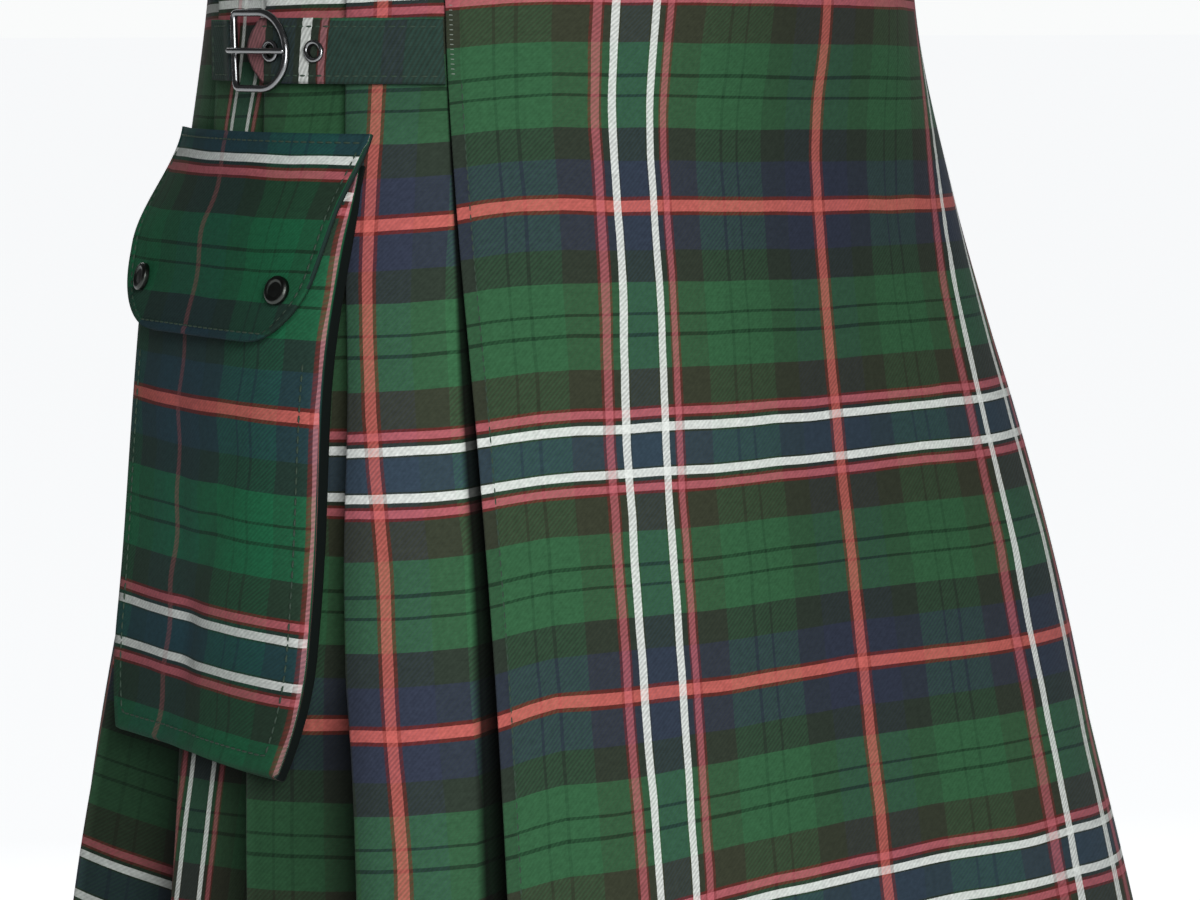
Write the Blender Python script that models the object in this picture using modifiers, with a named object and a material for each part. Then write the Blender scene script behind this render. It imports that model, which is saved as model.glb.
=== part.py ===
"""Utility kilt as it is worn, open at the waist and the hem, in metres, +Z up.

The front faces -Y and the wearer's right hip lies at -X. The origin is on the body's axis,
half-way up the waistband. Every cloth piece lies on one set of level rings: a point of the
garment is given by its height, by its arc distance round the ring, and by how far it stands
out from the ring.
"""

import math

import bmesh
import bpy
import numpy as np

# Level rings of the worn garment, from the top edge to the hem (metres).
RING_COLUMNS = ("height", "half_width", "half_depth", "squareness", "centre_y")
RINGS = (
    (0.028, 0.1460, 0.1100, 2.10, -0.0005),
    (-0.025, 0.1475, 0.1115, 2.15, 0.0005),
    (-0.036, 0.1480, 0.1120, 2.20, 0.0005),
    (-0.107, 0.1550, 0.1180, 2.65, -0.0035),
    (-0.192, 0.1670, 0.1300, 3.15, -0.0135),
    (-0.277, 0.1780, 0.1480, 3.40, -0.0215),
    (-0.356, 0.1900, 0.1640, 3.45, -0.0255),
    (-0.470, 0.2060, 0.1840, 3.30, -0.0285),
    (-0.582, 0.2200, 0.2010, 3.10, -0.0300),
)
RING_SAMPLES = 1441

# Heights.
TOP_EDGE = 0.028
WAIST_SEAM = -0.025
HEM = -0.582
SKIRT_ROWS = (-0.055, -0.105, -0.147, -0.192, -0.235, -0.277, -0.325, -0.375, -0.430, -0.485, -0.535)

# Cloth and seams.
CLOTH = 0.0014
SEAM_GAP = 0.0003
LAY_GAP = 0.0007
BAND_CLOTH = 0.0024
BAND_PROUD = 0.0004
BAND_LAP_GAP = 0.0010
BAND_LAP_START = 0.004
BAND_LAP_END = 0.060
BAND_OVER = 0.002

# Arc distances are measured from the apron's hanging line, which stays at one angle round
# the body. They grow towards the wearer's left.
HANGING_ANGLE = math.radians(-20.5)
APRON_FREE_EDGE = -0.064
UNDER_APRON_SHORT = 0.037
TUCK = 0.006

# Knife pleats: the two in front keep their width, the others share what is left.
PLEATS = 13
FRONT_PLEATS = 2
FRONT_PLEAT_WIDTH = 0.056
PLEAT_CLOTH = 0.135
MOST_UNDERLAY = 0.75
FOLD_RADIUS = 0.00115
FOLD_STEPS = 3
FACE_PARTS = (0.28, 0.62)
APRON_SEAT = 0.10
APRON_STEP_DOWN = 0.0006
RETURN_BEHIND = 0.002
APRON_END_SLOPE = 0.3
UNDER_TURN_IN = 0.085
UNDER_TURN_STEPS = 2.6

# How the layers of a pleat part from the stitched fell down to the hem, and the arc distance
# of the last pleat's fold, which caps the outer apron at the left hip.
OPENING_COLUMNS = ("height", "layer_step", "under_apron_depth", "apron_left_fold")
OPENING = (
    (-0.025, 0.0024, 0.0036, 0.262),
    (-0.105, 0.0026, 0.0038, 0.280),
    (-0.192, 0.0060, 0.0048, 0.302),
    (-0.277, 0.0115, 0.0070, 0.325),
    (-0.356, 0.0130, 0.0090, 0.345),
    (-0.582, 0.0140, 0.0120, 0.385),
)

# Strap, tab and buckle.
STRAP_MID_HEIGHT = -0.0470
STRAP_WIDTH = 0.0240
STRAP_CLOTH = 0.0022
STRAP_TIP = -0.1500
STRAP_TIP_CUT = 0.0084
TAB_START = -0.1592
TAB_END = -0.1800
TAB_WIDTH = 0.0230
TAB_LIFT = 0.0022
TAB_LIFT_LENGTH = 0.010
BUCKLE_BAR = -0.1555
BUCKLE_ARC = -0.1255
BUCKLE_HALF_HEIGHT = 0.0142
BUCKLE_WIRE = 0.0014
BUCKLE_PROUD = 0.0048
BUCKLE_BULGE = 0.0130
BUCKLE_SHOULDER = 0.0080
EYELET_RADIUS = 0.0034
EYELET_WIRE = 0.0009
EYELETS = {"eyelet_near_buckle": -0.1345, "eyelet_near_apron": -0.1135}
PRONG_WIRE = 0.0011
# The prong's way from the bar, as (distance along, dip).
PRONG_ROUTE = ((-0.0010, 0.0), (0.0030, 0.0), (0.0135, 0.0012), (0.0225, 0.0010), (0.0280, 0.0), (0.0318, 0.0))

# Cargo pocket, which leans back with the pleats that carry it.
POCKET_TOP = -0.089
POCKET_BOTTOM = -0.309
POCKET_CENTRE_AT_TOP = -0.1617
POCKET_LEAN = 0.205
POCKET_HALF_WIDTH = 0.0660
POCKET_CLOTH = 0.0022
POCKET_PROUD_FRONT = 0.0050
POCKET_PROUD_BACK = 0.0102
POCKET_EDGE = 0.0050
POCKET_HEAD = 0.030
FLAP_TOP = -0.0775
FLAP_BOTTOM = -0.1535
FLAP_CLOTH = 0.0020
FLAP_HALF_WIDTH = 0.0676
FLAP_TAPER = 0.146
FLAP_CORNER = 0.0260
FLAP_FLARE_FRONT = 0.0040
FLAP_FLARE_BACK = 0.0090
FLAP_FLARE_MIDDLE = 0.6
FLAP_DROP_HEIGHT = 0.030
SNAP_RADIUS = 0.0055
SNAP_HEIGHT = 0.0026
SNAP_LEVEL = -0.1345
SNAP_SPACING = 0.0873
SNAP_LIFT = 0.0005
SNAP_TURNS = 14
# The cap's lathed profile, as (part of its radius, part of its height).
SNAP_PROFILE = ((1.0, 0.0), (1.0, 0.35), (0.72, 0.85), (0.35, 1.0))

TARTAN_GREEN = (0.020, 0.095, 0.045, 1.0)
TARTAN_BLUE = (0.025, 0.040, 0.055, 1.0)
TARTAN_DARK = (0.020, 0.045, 0.030, 1.0)
NICKEL = (0.55, 0.56, 0.57, 1.0)
BLACK_NICKEL = (0.060, 0.065, 0.060, 1.0)


def clear_scene():
    for thing in list(bpy.data.objects):
        bpy.data.objects.remove(thing, do_unlink=True)


def new_collection(name):
    collection = bpy.data.collections.new(name)
    bpy.context.scene.collection.children.link(collection)
    return collection


def material(name, colour, roughness, metallic=0.0):
    made = bpy.data.materials.new(name)
    made.use_nodes = True
    shader = made.node_tree.nodes["Principled BSDF"]
    shader.inputs["Base Color"].default_value = colour
    shader.inputs["Roughness"].default_value = roughness
    shader.inputs["Metallic"].default_value = metallic
    return made


def smooth_column(table, names, wanted, height):
    """The named column of a table at a height, on a smooth curve through its rows."""
    rows = np.array(table)[::-1]
    heights, values = rows[:, 0], rows[:, names.index(wanted)]
    slopes = np.gradient(values, heights)
    height = min(max(height, heights[0]), heights[-1])
    row = min(int(np.searchsorted(heights, height, side="right")) - 1, len(heights) - 2)
    span = heights[row + 1] - heights[row]
    part = (height - heights[row]) / span
    rise = values[row + 1] - values[row]
    low, high = slopes[row] * span - rise, rise - slopes[row + 1] * span
    bend = part * (1 - part) * ((1 - part) * low + part * high)
    return float(values[row] + part * rise + bend)


def ring(height, angle, out=0.0):
    """Points of a level ring, angle 0 at the front and growing towards the wearer's left."""
    half_width, half_depth, squareness, centre_y = (
        smooth_column(RINGS, RING_COLUMNS, wanted, height) for wanted in RING_COLUMNS[1:]
    )
    across, along = np.sin(angle), np.cos(angle)
    wide = np.abs(across / (half_width + out)) ** squareness
    deep = np.abs(along / (half_depth + out)) ** squareness
    radius = (wide + deep) ** (-1 / squareness)
    return radius * across, centre_y - radius * along


class Level:
    """One level ring, with the angle of each arc distance."""

    def __init__(self, height):
        self.height = height
        self.angles = np.linspace(HANGING_ANGLE - math.pi, HANGING_ANGLE + math.pi, RING_SAMPLES)
        x, y = ring(height, self.angles)
        steps = np.hypot(np.diff(x), np.diff(y))
        arcs = np.concatenate([[0.0], np.cumsum(steps)])
        self.length = float(arcs[-1])
        self.arcs = arcs - np.interp(HANGING_ANGLE, self.angles, arcs)

    def point(self, arc, out):
        arc = (arc - self.arcs[0]) % self.length + self.arcs[0]
        angle = float(np.interp(arc, self.arcs, self.angles))
        x, y = ring(self.height, angle, out)
        return float(x), float(y), self.height


LEVELS = {}


def place(arc, height, out):
    """World point at an arc distance and a height, standing out from the ring."""
    key = round(height, 6)
    if key not in LEVELS:
        LEVELS[key] = Level(height)
    return LEVELS[key].point(arc, out)


def ring_length(height):
    place(0.0, height, 0.0)
    return LEVELS[round(height, 6)].length


def ease(part):
    part = min(max(part, 0.0), 1.0)
    return part * part * (3 - 2 * part)


def cloth(name, collection, columns, rows, point, thickness, finish):
    """A grid of columns and rows, laid out by point(column, row), with a wall of cloth."""
    mesh = bpy.data.meshes.new(name)
    grid = bmesh.new()
    bmesh.ops.create_grid(grid, x_segments=columns - 1, y_segments=rows - 1, size=1.0)
    for vertex in grid.verts:
        column = round((vertex.co.x + 1) / 2 * (columns - 1))
        row = round((1 - vertex.co.y) / 2 * (rows - 1))
        vertex.co = point(column, row)
    grid.to_mesh(mesh)
    grid.free()
    mesh.shade_smooth()
    made = bpy.data.objects.new(name, mesh)
    made.data.materials.append(finish)
    wall = made.modifiers.new("Cloth", "SOLIDIFY")
    wall.thickness = thickness
    wall.offset = 0.0
    collection.objects.link(made)
    return made


def wire(name, collection, points, radius, finish, closed=False):
    """A round wire through the points."""
    curve = bpy.data.curves.new(name, "CURVE")
    curve.dimensions = "3D"
    curve.bevel_depth = radius
    curve.bevel_resolution = 2
    curve.use_fill_caps = not closed
    spline = curve.splines.new("POLY")
    spline.points.add(len(points) - 1)
    for target, point in zip(spline.points, points):
        target.co = (*point, 1.0)
    spline.use_cyclic_u = closed
    made = bpy.data.objects.new(name, curve)
    made.data.materials.append(finish)
    collection.objects.link(made)
    return made


def skirt_heights():
    return (WAIST_SEAM - SEAM_GAP, *SKIRT_ROWS, HEM)


def layer_step(height):
    return smooth_column(OPENING, OPENING_COLUMNS, "layer_step", height)


def under_apron_out(height):
    return -smooth_column(OPENING, OPENING_COLUMNS, "under_apron_depth", height)


def left_fold(height):
    return smooth_column(OPENING, OPENING_COLUMNS, "apron_left_fold", height)


def pleat_edges(height):
    """Distances from the apron's free edge to each fold, going round the back."""
    total = ring_length(height) - (left_fold(height) - APRON_FREE_EDGE)
    even = total / PLEATS
    front = min(even, FRONT_PLEAT_WIDTH)
    others = (total - FRONT_PLEATS * front) / (PLEATS - FRONT_PLEATS)
    widths = [front] * FRONT_PLEATS + [others] * (PLEATS - FRONT_PLEATS)
    return np.concatenate([[0.0], np.cumsum(widths)])


def fold_arc(centre, out, turn):
    """A half turn of cloth: turn +1 folds under, turn -1 folds back out again."""
    steps = np.linspace(0.0, math.pi, FOLD_STEPS)
    radius = FOLD_RADIUS
    return [(centre + turn * radius * math.sin(step), out - radius * (1 - math.cos(step))) for step in steps]


def pleat_widths(height):
    """Each pleat's width, and how far its cloth runs back under it."""
    widths = np.diff(pleat_edges(height))
    underlays = np.minimum(MOST_UNDERLAY * widths, (PLEAT_CLOTH - widths) / 2)
    return widths, underlays


def underlay_depth(height, width, underlay):
    """How deep the inner fold starts, below the pleat's face at its own fold."""
    step = layer_step(height)
    return 2 * step * underlay / width + 2 * FOLD_RADIUS + 0.5 * (step - OPENING[0][1])


def return_depth(height, width, underlay, behind):
    """Depth of the cloth that runs forward again under a pleat, behind its fold."""
    step = layer_step(height)
    deepest = underlay_depth(height, width, underlay) + 2 * FOLD_RADIUS
    return 2 * step + (deepest - 2 * step) * behind / underlay


def pleat_section(height):
    """The pleated cloth's mid line at one height, as (distance, out) pairs."""
    edges = pleat_edges(height)
    widths, underlays = pleat_widths(height)
    step = layer_step(height)
    start = under_apron_out(height)
    lift = -CLOTH / 2
    section = [(-TUCK + SEAM_GAP, start)]
    for pleat, (width, underlay) in enumerate(zip(widths, underlays)):
        left, right = edges[pleat], edges[pleat + 1]
        near, far = (left + part * width for part in FACE_PARTS)
        if pleat == 0:
            section += [(left + APRON_SEAT * width, start), (near, lift - APRON_STEP_DOWN), (far, lift)]
        else:
            section += [(at, lift - 2 * step * (right - at) / width) for at in (near, far)]
        section += fold_arc(right - FOLD_RADIUS, lift, 1)
        inner = lift - underlay_depth(height, width, underlay)
        section += fold_arc(right - underlay + FOLD_RADIUS, inner, -1)
        behind = RETURN_BEHIND if pleat < PLEATS - 1 else TUCK
        section.append((right - behind, lift - return_depth(height, width, underlay, behind)))
    return section


def build_skirt(collection, finish):
    heights = skirt_heights()
    sections = [pleat_section(height) for height in heights]

    def point(column, row):
        distance, out = sections[row][column]
        return place(APRON_FREE_EDGE - distance, heights[row], out)

    cloth("skirt_pleated", collection, len(sections[0]), len(heights), point, CLOTH, finish)


def apron_sunk(arc, height):
    """How deep the outer apron lies where it runs in under the last pleat's fold."""
    widths, underlays = pleat_widths(height)
    width, underlay = float(widths[-1]), float(underlays[-1])
    behind = arc - left_fold(height)
    if behind > 0:
        return return_depth(height, width, underlay, behind)
    part = behind / width + 1
    if part < APRON_END_SLOPE:
        part = max(part + APRON_END_SLOPE, 0.0) ** 2 / (4 * APRON_END_SLOPE)
    return 2 * layer_step(height) * part


def build_apron_outer(collection, finish):
    heights = skirt_heights()
    parts = np.concatenate([np.linspace(0.0, 0.70, 17), np.linspace(0.70, 1.0, 9)[1:]])

    def point(column, row):
        height = heights[row]
        end = left_fold(height) + TUCK - LAY_GAP
        arc = APRON_FREE_EDGE + (end - APRON_FREE_EDGE) * parts[column]
        return place(arc, height, -CLOTH / 2 - apron_sunk(arc, height))

    cloth("apron_outer", collection, len(parts), len(heights), point, CLOTH, finish)


def build_apron_under(collection, finish):
    heights = skirt_heights()
    parts = np.linspace(0.0, 1.0, 20)

    def point(column, row):
        height = heights[row]
        start, end = APRON_FREE_EDGE + TUCK, left_fold(height) - UNDER_APRON_SHORT
        arc = start + (end - start) * parts[column]
        sunk = ease((arc - end + UNDER_TURN_IN) / UNDER_TURN_IN) * UNDER_TURN_STEPS * layer_step(height)
        return place(arc, height, under_apron_out(height) - sunk)

    cloth("apron_under", collection, len(parts), len(heights), point, CLOTH, finish)


def build_waistband(collection, finish):
    """One strip wound once round and lapped: it starts inside, under the apron's far end."""
    start = APRON_FREE_EDGE - left_fold(WAIST_SEAM) + UNDER_APRON_SHORT
    end = ring_length(WAIST_SEAM) + BAND_OVER
    under = np.linspace(start, BAND_LAP_START, 18)
    lap = np.linspace(BAND_LAP_START, BAND_LAP_END, 6)[1:]
    around = np.linspace(BAND_LAP_END, end, 40)[1:]
    distances = np.concatenate([under, lap, around])
    heights = (TOP_EDGE, (TOP_EDGE + WAIST_SEAM) / 2, WAIST_SEAM)
    outer = BAND_PROUD - BAND_CLOTH / 2
    inner = outer - BAND_CLOTH - BAND_LAP_GAP

    def point(column, row):
        distance = distances[column]
        lapped = ease((distance - BAND_LAP_START) / (BAND_LAP_END - BAND_LAP_START))
        return place(APRON_FREE_EDGE - distance, heights[row], inner + (outer - inner) * lapped)

    cloth("waistband", collection, len(distances), len(heights), point, BAND_CLOTH, finish)


def build_strap(collection, finish):
    arcs = np.linspace(APRON_FREE_EDGE - SEAM_GAP, STRAP_TIP, 13)
    heights = np.linspace(STRAP_MID_HEIGHT + STRAP_WIDTH / 2, STRAP_MID_HEIGHT - STRAP_WIDTH / 2, 3)
    out = STRAP_CLOTH / 2 + LAY_GAP

    def point(column, row):
        arc, height = arcs[column], heights[row]
        tip = STRAP_TIP_CUT if column == len(arcs) - 1 and row != 1 else 0.0
        return place(arc + tip, height, out)

    cloth("strap", collection, len(arcs), len(heights), point, STRAP_CLOTH, finish)


def build_tab(collection, finish):
    arcs = np.linspace(TAB_START, TAB_END, 5)
    heights = np.linspace(STRAP_MID_HEIGHT + TAB_WIDTH / 2, STRAP_MID_HEIGHT - TAB_WIDTH / 2, 3)

    def point(column, row):
        lift = TAB_LIFT * (1 - ease((TAB_START - arcs[column]) / TAB_LIFT_LENGTH))
        return place(arcs[column], heights[row], STRAP_CLOTH / 2 + LAY_GAP + lift)

    cloth("buckle_tab", collection, len(arcs), len(heights), point, STRAP_CLOTH, finish)


def build_buckle(collection, finish):
    """A D-shaped frame, and a prong that dips through the strap and rests on the frame."""
    outline = [(BUCKLE_BAR, side * BUCKLE_HALF_HEIGHT) for side in (-1.0, -0.5, 0.0, 0.5, 1.0)]
    outline.append((BUCKLE_BAR + BUCKLE_SHOULDER, BUCKLE_HALF_HEIGHT))
    for step in np.linspace(math.pi / 2, -math.pi / 2, 9):
        along = BUCKLE_ARC - BUCKLE_BULGE * (1 - math.cos(step))
        outline.append((along, BUCKLE_HALF_HEIGHT * math.sin(step)))
    outline.append((BUCKLE_BAR + BUCKLE_SHOULDER, -BUCKLE_HALF_HEIGHT))
    points = [place(arc, STRAP_MID_HEIGHT + height, BUCKLE_PROUD) for arc, height in outline]
    wire("buckle_frame", collection, points, BUCKLE_WIRE, finish, closed=True)

    over = BUCKLE_PROUD + BUCKLE_WIRE + PRONG_WIRE + SEAM_GAP
    points = [place(BUCKLE_BAR + along, STRAP_MID_HEIGHT, over - dip) for along, dip in PRONG_ROUTE]
    wire("buckle_prong", collection, points, PRONG_WIRE, finish)


def build_eyelets(collection, finish):
    out = STRAP_CLOTH + LAY_GAP + SEAM_GAP + EYELET_WIRE
    for name, arc in EYELETS.items():
        turns = np.linspace(0.0, 2 * math.pi, 12, endpoint=False)
        points = [
            place(arc + EYELET_RADIUS * math.cos(turn), STRAP_MID_HEIGHT + EYELET_RADIUS * math.sin(turn), out)
            for turn in turns
        ]
        wire(name, collection, points, EYELET_WIRE, finish, closed=True)


def pocket_centre(height):
    return POCKET_CENTRE_AT_TOP - POCKET_LEAN * (POCKET_TOP - height)


def pocket_proud(across):
    """How full the bag is; its back stands off the hip more than its front."""
    return POCKET_PROUD_FRONT + (POCKET_PROUD_BACK - POCKET_PROUD_FRONT) * ((1 - across) / 2) ** 2


def pocket_out(across, height):
    """How far the bag's outer face stands out; across runs from -1 to 1."""
    side = ease((1 - abs(across)) * POCKET_HALF_WIDTH / POCKET_EDGE)
    foot = ease((height - POCKET_BOTTOM) / POCKET_EDGE)
    head = ease((POCKET_TOP - height) / POCKET_HEAD)
    return pocket_proud(across) * min(side, foot) * head


def build_pocket_bag(collection, finish):
    sides = (-1.0, -0.975, -0.95, -0.92, -0.6, -0.3, 0.0, 0.3, 0.6, 0.92, 0.95, 0.975, 1.0)
    heights = (POCKET_TOP, -0.094, -0.099, -0.104, -0.109, -0.114, -0.120, -0.157, -0.195, -0.235, -0.275)
    heights += tuple(POCKET_BOTTOM + POCKET_EDGE * part for part in (1.0, 0.6, 0.3, 0.0))
    base = POCKET_CLOTH / 2 + LAY_GAP

    def point(column, row):
        across, height = sides[column], heights[row]
        arc = pocket_centre(height) + across * POCKET_HALF_WIDTH
        return place(arc, height, base + pocket_out(across, height))

    cloth("pocket_bag", collection, len(sides), len(heights), point, POCKET_CLOTH, finish)


def flap_half_width(height):
    """The flap's half width: it narrows downwards, and round its lower corners."""
    straight = FLAP_HALF_WIDTH - FLAP_TAPER * (FLAP_TOP - height)
    above = height - FLAP_BOTTOM
    if above >= FLAP_CORNER:
        return straight
    part = 1 - above / FLAP_CORNER
    return straight - 0.9 * FLAP_CORNER * (1 - math.sqrt(1 - part**2))


def flap_out(aside, height):
    """The mid surface of the flap, over the bag and flaring at its foot; aside is from its middle line."""
    across = aside / POCKET_HALF_WIDTH
    down = (FLAP_TOP - height) / (FLAP_TOP - FLAP_BOTTOM)
    clear = FLAP_CLOTH / 2 + LAY_GAP + SEAM_GAP
    over_bag = ease((FLAP_TOP - height) / FLAP_DROP_HEIGHT) * (POCKET_CLOTH + pocket_proud(across))
    flare = FLAP_FLARE_FRONT + (FLAP_FLARE_BACK - FLAP_FLARE_FRONT) * (1 - across) / 2
    return clear + over_bag + flare * down**2 * (FLAP_FLARE_MIDDLE + (1 - FLAP_FLARE_MIDDLE) * across**2)


def build_flap(collection, finish):
    sides = np.linspace(-1.0, 1.0, 11)
    heights = (FLAP_TOP, -0.0815, -0.0865, -0.092, -0.098, -0.105, -0.1175)
    heights += (-0.1275, -0.1355, -0.1425, -0.1485, -0.152, FLAP_BOTTOM)

    def point(column, row):
        height = heights[row]
        aside = sides[column] * flap_half_width(height)
        return place(pocket_centre(height) + aside, height, flap_out(aside, height))

    cloth("pocket_flap", collection, len(sides), len(heights), point, FLAP_CLOTH, finish)


def build_snaps(collection, finish):
    """Domed caps on the flap: a lathed profile turned to face outwards."""
    for name, side in (("snap_front", 1), ("snap_back", -1)):
        mesh = bpy.data.meshes.new(name)
        dome = bmesh.new()
        aside = side * SNAP_SPACING / 2
        centre_arc = pocket_centre(SNAP_LEVEL) + aside
        seat = flap_out(aside, SNAP_LEVEL) + FLAP_CLOTH / 2 + SEAM_GAP
        here = np.array(place(centre_arc, SNAP_LEVEL, seat))
        along = np.array(place(centre_arc + 0.001, SNAP_LEVEL, seat)) - here
        up_out = flap_out(aside, SNAP_LEVEL + 0.001) + FLAP_CLOTH / 2 + SEAM_GAP
        up = np.array(place(centre_arc, SNAP_LEVEL + 0.001, up_out)) - here
        along /= np.linalg.norm(along)
        up -= along * np.dot(along, up)
        up /= np.linalg.norm(up)
        outward = np.cross(along, up)
        loops = []
        for radius, height in SNAP_PROFILE:
            loop = []
            for turn in np.linspace(0.0, 2 * math.pi, SNAP_TURNS, endpoint=False):
                spread = SNAP_RADIUS * radius * (math.cos(turn) * along + math.sin(turn) * up)
                loop.append(dome.verts.new(here + spread + outward * (SNAP_LIFT + SNAP_HEIGHT * height)))
            loops.append(loop)
        dome.faces.new(loops[0][::-1])
        dome.faces.new(loops[-1])
        for low, high in zip(loops, loops[1:]):
            for step in range(SNAP_TURNS):
                after = (step + 1) % SNAP_TURNS
                dome.faces.new((low[step], low[after], high[after], high[step]))
        dome.normal_update()
        dome.to_mesh(mesh)
        dome.free()
        made = bpy.data.objects.new(name, mesh)
        made.data.materials.append(finish)
        collection.objects.link(made)


def build_kilt():
    clear_scene()
    kilt = new_collection("Kilt")
    tartan = material("Tartan", TARTAN_GREEN, 0.85)
    tartan_under = material("Tartan under apron", TARTAN_DARK, 0.85)
    tartan_pocket = material("Tartan pocket", TARTAN_DARK, 0.85)
    tartan_strap = material("Tartan strap", TARTAN_BLUE, 0.80)
    nickel = material("Nickel", NICKEL, 0.25, 1.0)
    snap_metal = material("Black nickel", BLACK_NICKEL, 0.35, 1.0)
    build_waistband(kilt, tartan)
    build_apron_outer(kilt, tartan)
    build_apron_under(kilt, tartan_under)
    build_skirt(kilt, tartan)
    build_strap(kilt, tartan_strap)
    build_tab(kilt, tartan_strap)
    build_buckle(kilt, nickel)
    build_eyelets(kilt, nickel)
    build_pocket_bag(kilt, tartan_pocket)
    build_flap(kilt, tartan_pocket)
    build_snaps(kilt, snap_metal)


build_kilt()
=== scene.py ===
"""Utility kilt in its tartan: cloth, stitching, strap, buckle and pocket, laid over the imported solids.

The front faces -Y and the wearer's right hip lies at -X. A point of the garment is given by its
arc distance round a level ring, its height, and how far it stands out from the ring. Patterns are
laid out in half repeats of the tartan: a pair of white lines at each even number, a single red
line at each odd one. A table's rows run down the garment, and its first column is the height,
unless it says otherwise.
"""

import math

import bpy
import numpy as np
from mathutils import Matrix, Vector


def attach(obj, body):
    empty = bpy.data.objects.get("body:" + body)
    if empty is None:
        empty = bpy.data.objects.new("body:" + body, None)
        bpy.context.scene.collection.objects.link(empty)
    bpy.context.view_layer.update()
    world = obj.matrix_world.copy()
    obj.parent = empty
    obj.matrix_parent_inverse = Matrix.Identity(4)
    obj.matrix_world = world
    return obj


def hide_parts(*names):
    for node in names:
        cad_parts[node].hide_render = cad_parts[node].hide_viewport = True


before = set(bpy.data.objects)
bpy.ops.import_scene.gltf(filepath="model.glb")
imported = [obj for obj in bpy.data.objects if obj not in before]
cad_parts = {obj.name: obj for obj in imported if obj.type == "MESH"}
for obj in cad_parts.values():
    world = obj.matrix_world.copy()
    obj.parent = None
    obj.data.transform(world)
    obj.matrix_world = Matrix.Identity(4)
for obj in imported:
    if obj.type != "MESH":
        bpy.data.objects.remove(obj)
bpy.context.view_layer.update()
scene = bpy.context.scene

# ---------------------------------------------------------------- sizes

# Half width, half depth, squareness and the centre's y of the level rings.
RINGS = (
    (0.028, 0.146, 0.11, 2.1, -0.0005),
    (-0.025, 0.1475, 0.1115, 2.15, 0.0005),
    (-0.036, 0.148, 0.112, 2.2, 0.0005),
    (-0.107, 0.155, 0.118, 2.65, -0.0035),
    (-0.192, 0.167, 0.13, 3.15, -0.0135),
    (-0.277, 0.178, 0.148, 3.4, -0.0215),
    (-0.356, 0.19, 0.164, 3.45, -0.0255),
    (-0.47, 0.206, 0.184, 3.3, -0.0285),
    (-0.582, 0.22, 0.201, 3.1, -0.03),
)
RING_SAMPLES = 1441
TOP_EDGE, WAIST_SEAM, HEM = 0.028, -0.025, -0.582
CLOTH = 0.0014
SEAM_GAP = 0.0003
LAY_GAP = 0.0007
BAND_CLOTH = 0.0024
BAND_PROUD = 0.0004
BAND_LAP_GAP = 0.001
BAND_LAP_START, BAND_LAP_END = 0.004, 0.06
BAND_OVER = 0.002
# Where the band's arcs start again, and the arcs for which the level lines are charted.
BAND_WRAP = 0.45
CHARTED_ARCS = (-0.3, 0.42)

HANGING_ANGLE = math.radians(-20.5)
APRON_FREE_EDGE = -0.064
UNDER_APRON_SHORT = 0.037
TUCK = 0.006
APRON_END_SLOPE = 0.3
APRON_LIFT, APRON_LIFT_WIDTH = 0.003, 0.016
EDGE_SEAM = 0.0048
EDGE_TURN, EDGE_TURN_STEP = 0.0007, 0.0012
EDGE_GROOVE, EDGE_GROOVE_WIDTH = 0.0011, 0.0008
UNDER_TURN_IN = 0.085
UNDER_TURN_STEPS = 2.6

PLEATS = 13
FRONT_PLEATS = 2
FRONT_PLEAT_WIDTH = 0.056
PLEAT_CLOTH = 0.135
MOST_UNDERLAY = 0.75
FOLD_RADIUS = 0.00115
FACE_BULGE = 0.001
FIRST_FACE_BULGE = 0.0008
FULL_BULGE_STEP = 0.012
# Where a face comes out from under the one before, as a share of its width, and what then shows.
EMERGES_AT, FACE_SEEN = 0.03, 0.97
BEHIND_NEXT = 0.002
# How the folds stray: size, turns along the height, and turns from pleat to pleat.
FOLD_WAVES = ((0.0011, 19, 2.1), (0.0006, 47, 4.3))
# The step from one pleat to the next, the under apron's depth, and the arc of the last pleat's fold.
OPENING = (
    (-0.025, 0.0024, 0.0036, 0.262),
    (-0.105, 0.0026, 0.0038, 0.28),
    (-0.192, 0.006, 0.0048, 0.302),
    (-0.277, 0.0115, 0.007, 0.325),
    (-0.356, 0.013, 0.009, 0.345),
    (-0.582, 0.014, 0.012, 0.385),
)
WAIST_STEP = OPENING[0][1]
# Width and depth of the valley between the first pleat and the apron's free edge.
VALLEY = (
    *((-0.025, 0.0014, 0.0038), (-0.08, 0.0021, 0.0052), (-0.12, 0.0034, 0.008), (-0.19, 0.0074, 0.015)),
    *((-0.24, 0.0084, 0.018), (-0.28, 0.01, 0.0205), (-0.356, 0.0122, 0.024), (-0.582, 0.015, 0.027)),
)
# How far the valley's brink is sunk, its floor's place across, its side's bend, and its samples.
VALLEY_BRINK, VALLEY_FLOOR, VALLEY_BEND = 0.0004, 0.1, 1.15
VALLEY_DOWN, VALLEY_UP = 4, 6

STRAP_MID_HEIGHT = -0.047
STRAP_WIDTH = 0.024
STRAP_CLOTH = 0.0022
STRAP_TIP = -0.15
STRAP_TIP_CUT = 0.0084
STRAP_TIP_FROM, STRAP_TIP_LENGTH = APRON_FREE_EDGE - 0.05, 0.036
STRAP_EDGE_DROP = 0.0005
STRAP_SETTLED = 0.0006
STRAP_SLANT = 0.13
STRAP_SEAM = 0.76
STRAP_SEAM_DEPTH, STRAP_SEAM_WIDTH = 0.0003, 0.07
TAB_START, TAB_END = -0.1592, -0.18
TAB_WIDTH = 0.023
TAB_LIFT = 0.0022
TAB_LIFT_LENGTH = 0.01
TAB_SEAM = 0.8
TAB_CUT_FROM = 0.074
BUCKLE_BAR = -0.1555
BUCKLE_ARC = -0.1255
BUCKLE_HALF_HEIGHT = 0.0142
BUCKLE_WIRE = 0.0014
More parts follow.
